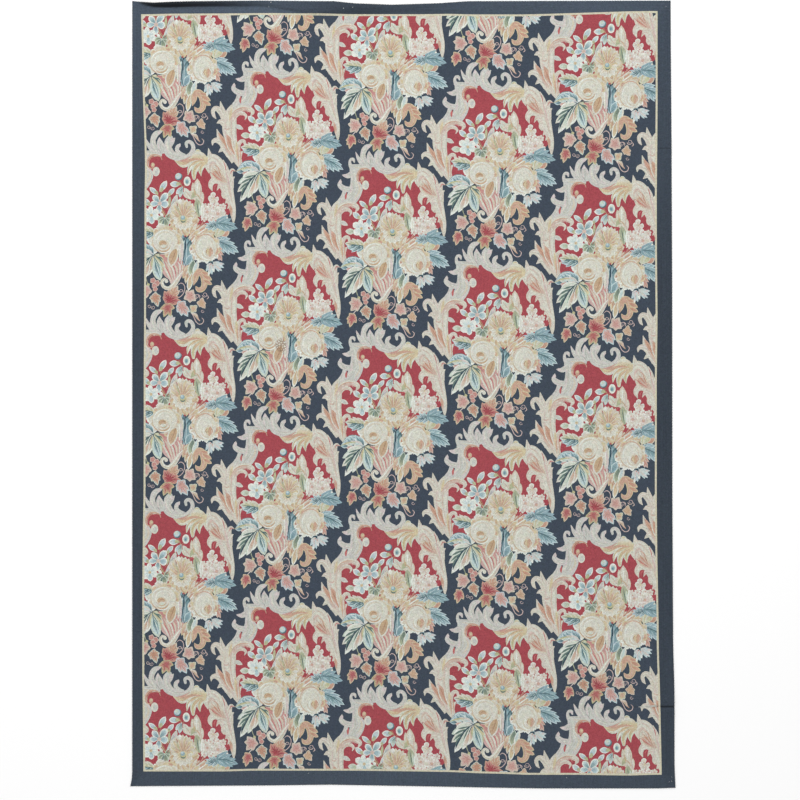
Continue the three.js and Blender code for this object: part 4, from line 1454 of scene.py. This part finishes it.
def makeStrip(name, soup, left, right, low, high, fieldWool):
    soup = soup[isBroad(soup[..., :2])]
    places = np.round(soup[..., :2].reshape(-1, 2), 3)
    points, faces = np.unique(places, axis=0, return_inverse=True)
    faces = faces.reshape(-1, 3)
    whole = (faces[:, 0] != faces[:, 1]) & (faces[:, 1] != faces[:, 2]) & (faces[:, 2] != faces[:, 0])
    faces, tones = faces[whole], soup[whole][..., 2:]
    x, y = points[:, 0], points[:, 1]
    ring = []
    for away, order in ((y - low, x), (x - right, y), (y - high, -x), (x - left, -y)):
        spots = np.nonzero(np.abs(away) < strip["near"])[0]
        ring.extend(spots[np.argsort(order[spots])][:-1].tolist())
    count = len(ring)
    gridX, gridY = np.meshgrid(np.linspace(left, right, strip["underColumns"])[1:-1],
                               np.linspace(low, high, strip["underRows"])[1:-1])
    flat = np.vstack([points[ring], np.column_stack([gridX.ravel(), gridY.ravel()])])
    under, underFaces = triangulate(flat, [(i, (i + 1) % count) for i in range(count)])
    top = toMetres(x, y, cloth["thickness"])
    bottom = toMetres(under[:, 0], under[:, 1], cloth["fieldUnder"])
    base = len(top)
    allFaces = faces.tolist() + (underFaces[:, ::-1] + base).tolist()
    nextOne = np.roll(np.arange(count), -1)
    walls = [(ring[i], base + i, base + j, ring[j]) for i, j in enumerate(nextOne.tolist())]
    allFaces += walls
    item = makeMesh(name, np.vstack([top, bottom]), allFaces, [fieldWool])
    mesh = item.data
    tone = mesh.color_attributes.new("yarnTone", "FLOAT_COLOR", "CORNER")
    values = np.ones((len(mesh.loops), 4))
    values[:] = (*linear(yarn["stone"]), 1)
    # the chart's tones, darkened by painted shade along the creases' feet
    corners = points[faces.ravel()]
    values[:faces.size, :3] = tones.reshape(-1, 3) * creaseShade(corners[:, 0], corners[:, 1])[:, None]
    tone.data.foreach_set("color", values.ravel())
    spread = mesh.uv_layers.new(name="OFBake")
    corners = np.empty(len(mesh.loops), np.int64)
    mesh.loops.foreach_get("vertex_index", corners)
    flatAll = np.vstack([points, under])
    place = flatAll[corners]
    middle = np.repeat(flatAll[faces].mean(axis=1)[:, 1], 3)
    shelfY = np.concatenate([middle, place[faces.size:, 1]])
    third = (high - low) / strip["shelves"]
    shelf = np.clip((shelfY - low) // third, 0, strip["shelves"] - 1)
    u = shelf * (right - left) * strip["shelfGap"] + place[:, 0] - left
    v = place[:, 1] - low - shelf * third
    u[faces.size:] = strip["underPlace"] * (right - left)
    v[faces.size:] = (place[faces.size:, 1] - low) / strip["underSqueeze"]
    size = max(strip["mapWidth"] * (right - left), third * strip["shelfGap"])
    spread.data.foreach_set("uv", ((np.column_stack([u, v]) + strip["mapMargin"]) / size).ravel())
    return item


def cutStrips(soup, fieldWool):
    sides, low, high = stripSides()
    soup = cutAt(cutAt(soup, 1, low, 1), 1, high, -1)
    soup = cutAt(cutAt(soup, 0, sides[0], 1), 0, sides[-1], -1)
    for crease in creases:
        room = (crease["shadeFrom"] - 10, creaseEnd)
        for cut in creaseCuts:
            soup = sliceAt(soup, 1, crease["at"] + cut * crease["reach"], room)
    strips = []
    for i, (left, right) in enumerate(zip(sides[:-1], sides[1:])):
        own = cutAt(cutAt(soup, 0, left, 1), 0, right, -1)
        made = makeStrip(f"field_strip_{i + 1}", own, left, right, low, high, fieldWool)
        print(made.name, len(made.data.polygons), "faces")
        strips.append(made)
    return strips


# Painted light and shade along each side of the border as the light falls on it, and on the top side over the
# curled rim's lit and shaded folds: (place along it, share of the common tone)
borderLightAndShade = {
    "tone": (63, 72, 83),
    "left": [(-1990, 0.96), (-1600, 0.94), (-700, 0.92), (200, 0.92), (1100, 1.0), (1700, 1.08),
        (1990, 1.12)],
    "right": [(-1990, 0.92), (-1100, 0.9), (-500, 0.87), (600, 0.87), (1100, 0.95), (1990, 1.03)],
    "bottom": [(-1372, 1.03), (0, 1.09), (1372, 1.0)],
    "top": [(-1372, 1.05), (-1250, 1.12), (-680, 1.22), (-480, 1.1), (-220, 0.95), (0, 0.98), (140, 0.98),
        (400, 1.08), (950, 1.12), (1372, 1.1)],
}
# Painted shade under the curled rim, where the cloth turns away from the light: place along it, how far in it
# reaches, how dark it is
curlShade = [
    (-1325, 4, 0), (-1302, 8, 0.6), (-1257, 17, 0.66), (-1206, 21, 0.68), (-1130, 22, 0.68),
    (-1029, 21, 0.58), (-927, 21, 0.52), (-826, 22, 0.36), (-724, 24, 0.22), (-623, 32, 0.14),
    (-522, 48, 0.12), (-268, 58, 0.12), (-116, 50, 0.08), (200, 40, 0),
]


borderLook = {
    "sideBlend": 12,    # how far one side's painted light and shade reaches into the next, millimetres
    "curlBase": 0.7, "curlInner": 0.3,    # shares of the painted shade under the curl: at the rim, and more further in
    "curlFade": 7,
}


# The border's tone: painted light and shade along each side, painted shade under the curled rim and along the
# creases' feet
def borderTone(x, y):
    halfWidth, halfLength = cloth["width"] / 2, cloth["length"] / 2
    room = np.stack([x + halfWidth, halfWidth - x, y + halfLength, halfLength - y])
    toneDrift = np.stack([along(borderLightAndShade[side], place)
                    for side, place in (("left", y), ("right", y), ("bottom", x), ("top", x))])
    share = np.exp(-room / borderLook["sideBlend"])
    light = (toneDrift * share).sum(axis=0) / share.sum(axis=0)
    # painted shade under the curled rim
    places, reach, dark = np.array(curlShade).T
    reach, dark = np.interp(x, places, reach), np.interp(x, places, dark)
    depth = borderLook["curlBase"] + borderLook["curlInner"] * fade(room[3] / reach)
    light = light * (1 - dark * depth * (1 - fade((room[3] - reach) / borderLook["curlFade"])))
    # painted shade along the creases' feet
    light = light * creaseShade(x, y)
    return np.column_stack([linear(light[:, None] * borderLightAndShade["tone"]), np.ones(len(x))])


# The body: one closed cloth, with its face sunk a little where the worked field lies.
def gridPlaces(marks, low, high, step):
    marks = sorted({round(float(m), 3) for m in marks if low <= m <= high} | {low, high})
    places = []
    for a, b in zip(marks[:-1], marks[1:]):
        count = max(1, math.ceil((b - a) / step))
        places += [a + (b - a) * i / count for i in range(count)]
    return np.array(places + [marks[-1]])


# The cloth's grid and the rounding of its rim, millimetres
weave = {
    "across": 30, "down": 60,             # widest grid steps
    "curlStep": 4, "curlDepth": 84,       # finer rows under the curl
    "ledge": 0.05, "ledgeMiddle": 0.04,   # the step down to the field's bed
    "insets": (0, 0.9, 2.2), "topShares": (0.62, 0.93, 1), "lowShares": (0.38, 0.07, 0),
}


# Where the cloth's grid has to have a line, along one axis: at the rounded rim and round the guard stripe
def cutMarks(half, first, last):
    w, ledge = cloth["guardWidth"], weave["ledge"]
    marks = [-half + inset for inset in weave["insets"][1:]] + [half - inset for inset in weave["insets"][1:]]
    return marks + [first, first + w, first + w + ledge, last - w - ledge, last - w, last]


def makeBody(materials):
    halfWidth, halfLength, thick = cloth["width"] / 2, cloth["length"] / 2, cloth["thickness"]
    outer = {"left": cloth["guardLeft"], "right": cloth["guardRight"], "low": cloth["guardBottom"],
             "high": cloth["guardTop"]}
    w = cloth["guardWidth"]
    edgeIn = w + weave["ledgeMiddle"]
    xMarks = cutMarks(halfWidth, outer["left"], outer["right"])
    yMarks = cutMarks(halfLength, outer["low"], outer["high"])
    for crease in creases:
        yMarks += [crease["at"] + cut * crease["reach"] for cut in creaseCuts]
    curlStep = weave["curlStep"]
    yMarks += [halfLength - inset for inset in range(curlStep, weave["curlDepth"], curlStep)]
    xs = gridPlaces(xMarks + [row[0] for row in rimCurl], -halfWidth, halfWidth, weave["across"])
    ys = gridPlaces(yMarks, -halfLength, halfLength, weave["down"])
    gx, gy = (g.ravel() for g in np.meshgrid(xs, ys, indexing="ij"))
    fromRim = np.minimum(halfWidth - np.abs(gx), halfLength - np.abs(gy))
    topZ = np.interp(fromRim, weave["insets"], [thick * share for share in weave["topShares"]])
    inField = ((gx >= outer["left"] + edgeIn) & (gx <= outer["right"] - edgeIn)
               & (gy >= outer["low"] + edgeIn) & (gy <= outer["high"] - edgeIn))
    topZ[inField] = cloth["fieldBed"]
    lowZ = np.interp(fromRim, weave["insets"], [thick * share for share in weave["lowShares"]])
    points = np.vstack([toMetres(gx, gy, topZ), toMetres(gx, gy, lowZ)])
    nx, ny = len(xs), len(ys)
    corner = np.arange(nx * ny).reshape(nx, ny)
    a, b, c, d = corner[:-1, :-1], corner[1:, :-1], corner[1:, 1:], corner[:-1, 1:]
    topFaces = np.stack([a, b, c, d], axis=-1).reshape(-1, 4)
    lowFaces = topFaces[:, ::-1] + nx * ny
    loop = np.concatenate([corner[:-1, 0], corner[-1, :-1], corner[:0:-1, -1], corner[0, :0:-1]])
    ahead = np.roll(loop, -1)
    walls = np.stack([loop, loop + nx * ny, ahead + nx * ny, ahead], axis=-1)
    mx = (xs[:-1] + xs[1:])[:, None].repeat(ny - 1, 1).ravel() / 2
    my = (ys[:-1] + ys[1:])[None, :].repeat(nx - 1, 0).ravel() / 2
    inGuard = (mx > outer["left"]) & (mx < outer["right"]) & (my > outer["low"]) & (my < outer["high"])
    inTop = my > outer["high"]
    slots = np.concatenate([np.where(inGuard, 1, np.where(inTop, 3, 0)), np.full(len(lowFaces), 2),
                            np.zeros(len(walls), int)])
    faces = topFaces.tolist() + lowFaces.tolist() + walls.tolist()
    item = makeMesh("rug_cloth", points, faces, materials, slots, sharp=0.9)
    tones = item.data.color_attributes.new("yarnTone", "FLOAT_COLOR", "POINT")
    tones.data.foreach_set("color", np.vstack([borderTone(gx, gy)] * 2).astype(np.float32).ravel())
    print("the cloth has", len(faces), "faces")
    return item, loop, points


# The rim's overcasting: one bent stitch on every point of the rim, a stitch's width apart
overcast = {
    "pitch": 8.0, "yarn": 0.9, "rise": 1.5,    # millimetres
    "above": 0.0009,                           # over the middle of the rim, metres
    "startsAt": -62, "turns": 304,             # degrees round the rim
    "bends": 6, "sides": 4,
}


def overcastTree(sizes):
    tree = bpy.data.node_groups.new("overcast rim", "GeometryNodeTree")
    addInputs(tree, sizes)
    given = addNode(tree, "NodeGroupInput")
    result = addNode(tree, "NodeGroupOutput")
    rim = addNode(tree, "GeometryNodeMeshToCurve")
    join(tree, given.outputs["Geometry"], rim.inputs["Mesh"])
    level = addNode(tree, "GeometryNodeSetCurveNormal")
    level.mode = "Z_UP"
    join(tree, rim.outputs["Curve"], level.inputs["Curve"])
    points = addNode(tree, "GeometryNodeCurveToPoints", mode="LENGTH")
    join(tree, level.outputs["Curve"], points.inputs["Curve"])
    join(tree, given.outputs["Pitch"], points.inputs["Length"])
    half = addNode(tree, "GeometryNodeCurveArc", mode="RADIUS")
    half.inputs["Resolution"].default_value = overcast["bends"]
    half.inputs["Start Angle"].default_value = math.radians(overcast["startsAt"])
    half.inputs["Sweep Angle"].default_value = math.radians(overcast["turns"])
    join(tree, given.outputs["Reach"], half.inputs["Radius"])
    section = addNode(tree, "GeometryNodeCurvePrimitiveCircle", mode="RADIUS")
    section.inputs["Resolution"].default_value = overcast["sides"]
    join(tree, given.outputs["Yarn"], section.inputs["Radius"])
    stitch = addNode(tree, "GeometryNodeCurveToMesh")
    join(tree, half.outputs["Curve"], stitch.inputs["Curve"])
    join(tree, section.outputs["Curve"], stitch.inputs["Profile Curve"])
    stitch.inputs["Fill Caps"].default_value = True
    on = addNode(tree, "GeometryNodeInstanceOnPoints")
    join(tree, points.outputs["Points"], on.inputs["Points"])
    join(tree, stitch.outputs["Mesh"], on.inputs["Instance"])
    join(tree, points.outputs["Rotation"], on.inputs["Rotation"])
    real = addNode(tree, "GeometryNodeRealizeInstances")
    join(tree, on.outputs["Instances"], real.inputs["Geometry"])
    smooth = addNode(tree, "GeometryNodeSetShadeSmooth")
    join(tree, real.outputs["Geometry"], smooth.inputs[0])
    dressed = addNode(tree, "GeometryNodeSetMaterial")
    join(tree, smooth.outputs[0], dressed.inputs["Geometry"])
    join(tree, given.outputs["Wool"], dressed.inputs["Material"])
    join(tree, dressed.outputs["Geometry"], result.inputs[0])
    return tree


def makeOvercast(loop, points, rimWool):
    middle = (points[loop] + points[loop + len(points) // 2]) / 2 + np.array([0, 0, overcast["above"]])
    mesh = bpy.data.meshes.new("rim path")
    count = len(middle)
    mesh.from_pydata(middle.tolist(), [(i, (i + 1) % count) for i in range(count)], [])
    path = bpy.data.objects.new("rim path", mesh)
    bpy.context.collection.objects.link(path)
    sizes = {"Pitch": overcast["pitch"] / 1000, "Reach": overcast["rise"] / 1000,
             "Yarn": overcast["yarn"] / 1000, "Wool": rimWool}
    made = applyTree(path, overcastTree(sizes), sizes)
    bpy.data.objects.remove(path)
    made.name = "rim_overcast"
    item = bpy.data.objects.new("rim_overcast", made)
    bpy.context.collection.objects.link(item)
    print("the rim has", len(made.polygons), "faces of overcasting")
    return item


# Bits of lint on the border: where each lies, its length and its turn
lint = [
    (-658, 1982, 7, 20), (-669, 1962, 5, 80), (-291, 1958, 6, 150), (-246, 1966, 5, 40),
    (1345, 1957, 5, 10), (-484, -1932, 7, 30), (817, -1934, 6, 120), (1354, -1930, 5, 70),
    (1352, -1953, 6, 160), (1338, -1957, 5, 20), (1243, 1077, 5, 100),
]

lintHeight = 0.9    # its middle over the cloth's face, millimetres


def makeLint(wool):
    points, faces = [], []
    for x, y, length, turn in lint:
        ahead = np.array([math.cos(math.radians(turn)), math.sin(math.radians(turn))])
        aside = np.array([-ahead[1], ahead[0]])
        first = len(points)
        for t, bow, thick in ((-0.5, 0, 0.2), (-0.2, 0.14, 0.7), (0.15, 0.1, 0.8), (0.5, -0.08, 0.2)):
            middle = np.array([x, y]) + length * (ahead * t + aside * bow)
            for across, up in ((-1, 0), (0, 1), (1, 0), (0, -1)):
                height = cloth["thickness"] + lintHeight + up * thick
                points.append((*(middle + aside * across * thick), height))
        for ring in range(3):
            low = first + 4 * ring
            faces += [(low + i, low + (i + 1) % 4, low + 4 + (i + 1) % 4, low + 4 + i) for i in range(4)]
        faces += [(first + 3, first + 2, first + 1, first), (first + 12, first + 13, first + 14, first + 15)]
    points = np.array(points)
    return makeMesh("lint", toMetres(points[:, 0], points[:, 1], points[:, 2]), faces, [wool])


fieldWool = woolMaterial("field wool", attribute="yarnTone", stained=True)
sideWool = woolMaterial("side border wool", attribute="yarnTone", row=(170, 2.5), rowTone=0.22)
topWool = woolMaterial("top border wool", attribute="yarnTone", row=(2.5, 170), rowTone=0.22)
guardWool = woolMaterial("guard wool", tone=(197, 192, 170))
rimWool = woolMaterial("rim yarn", tone=(44, 52, 63))
canvas = woolMaterial("canvas back", tone=(172, 162, 140))
lintWool = woolMaterial("lint", tone=(226, 226, 222))

drawRepeat()
print("the chart has", len(shapes), "shapes")
strips = cutStrips(laidField(fieldWool), fieldWool)
body, rimLoop, bodyPoints = makeBody([sideWool, guardWool, canvas, topWool])
stitches = makeOvercast(rimLoop, bodyPoints, rimWool)
flecks = makeLint(lintWool)

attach(body, "root")
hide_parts("rug")
for piece in [*strips, flecks]:
    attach(piece, "root")
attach(stitches, "root")
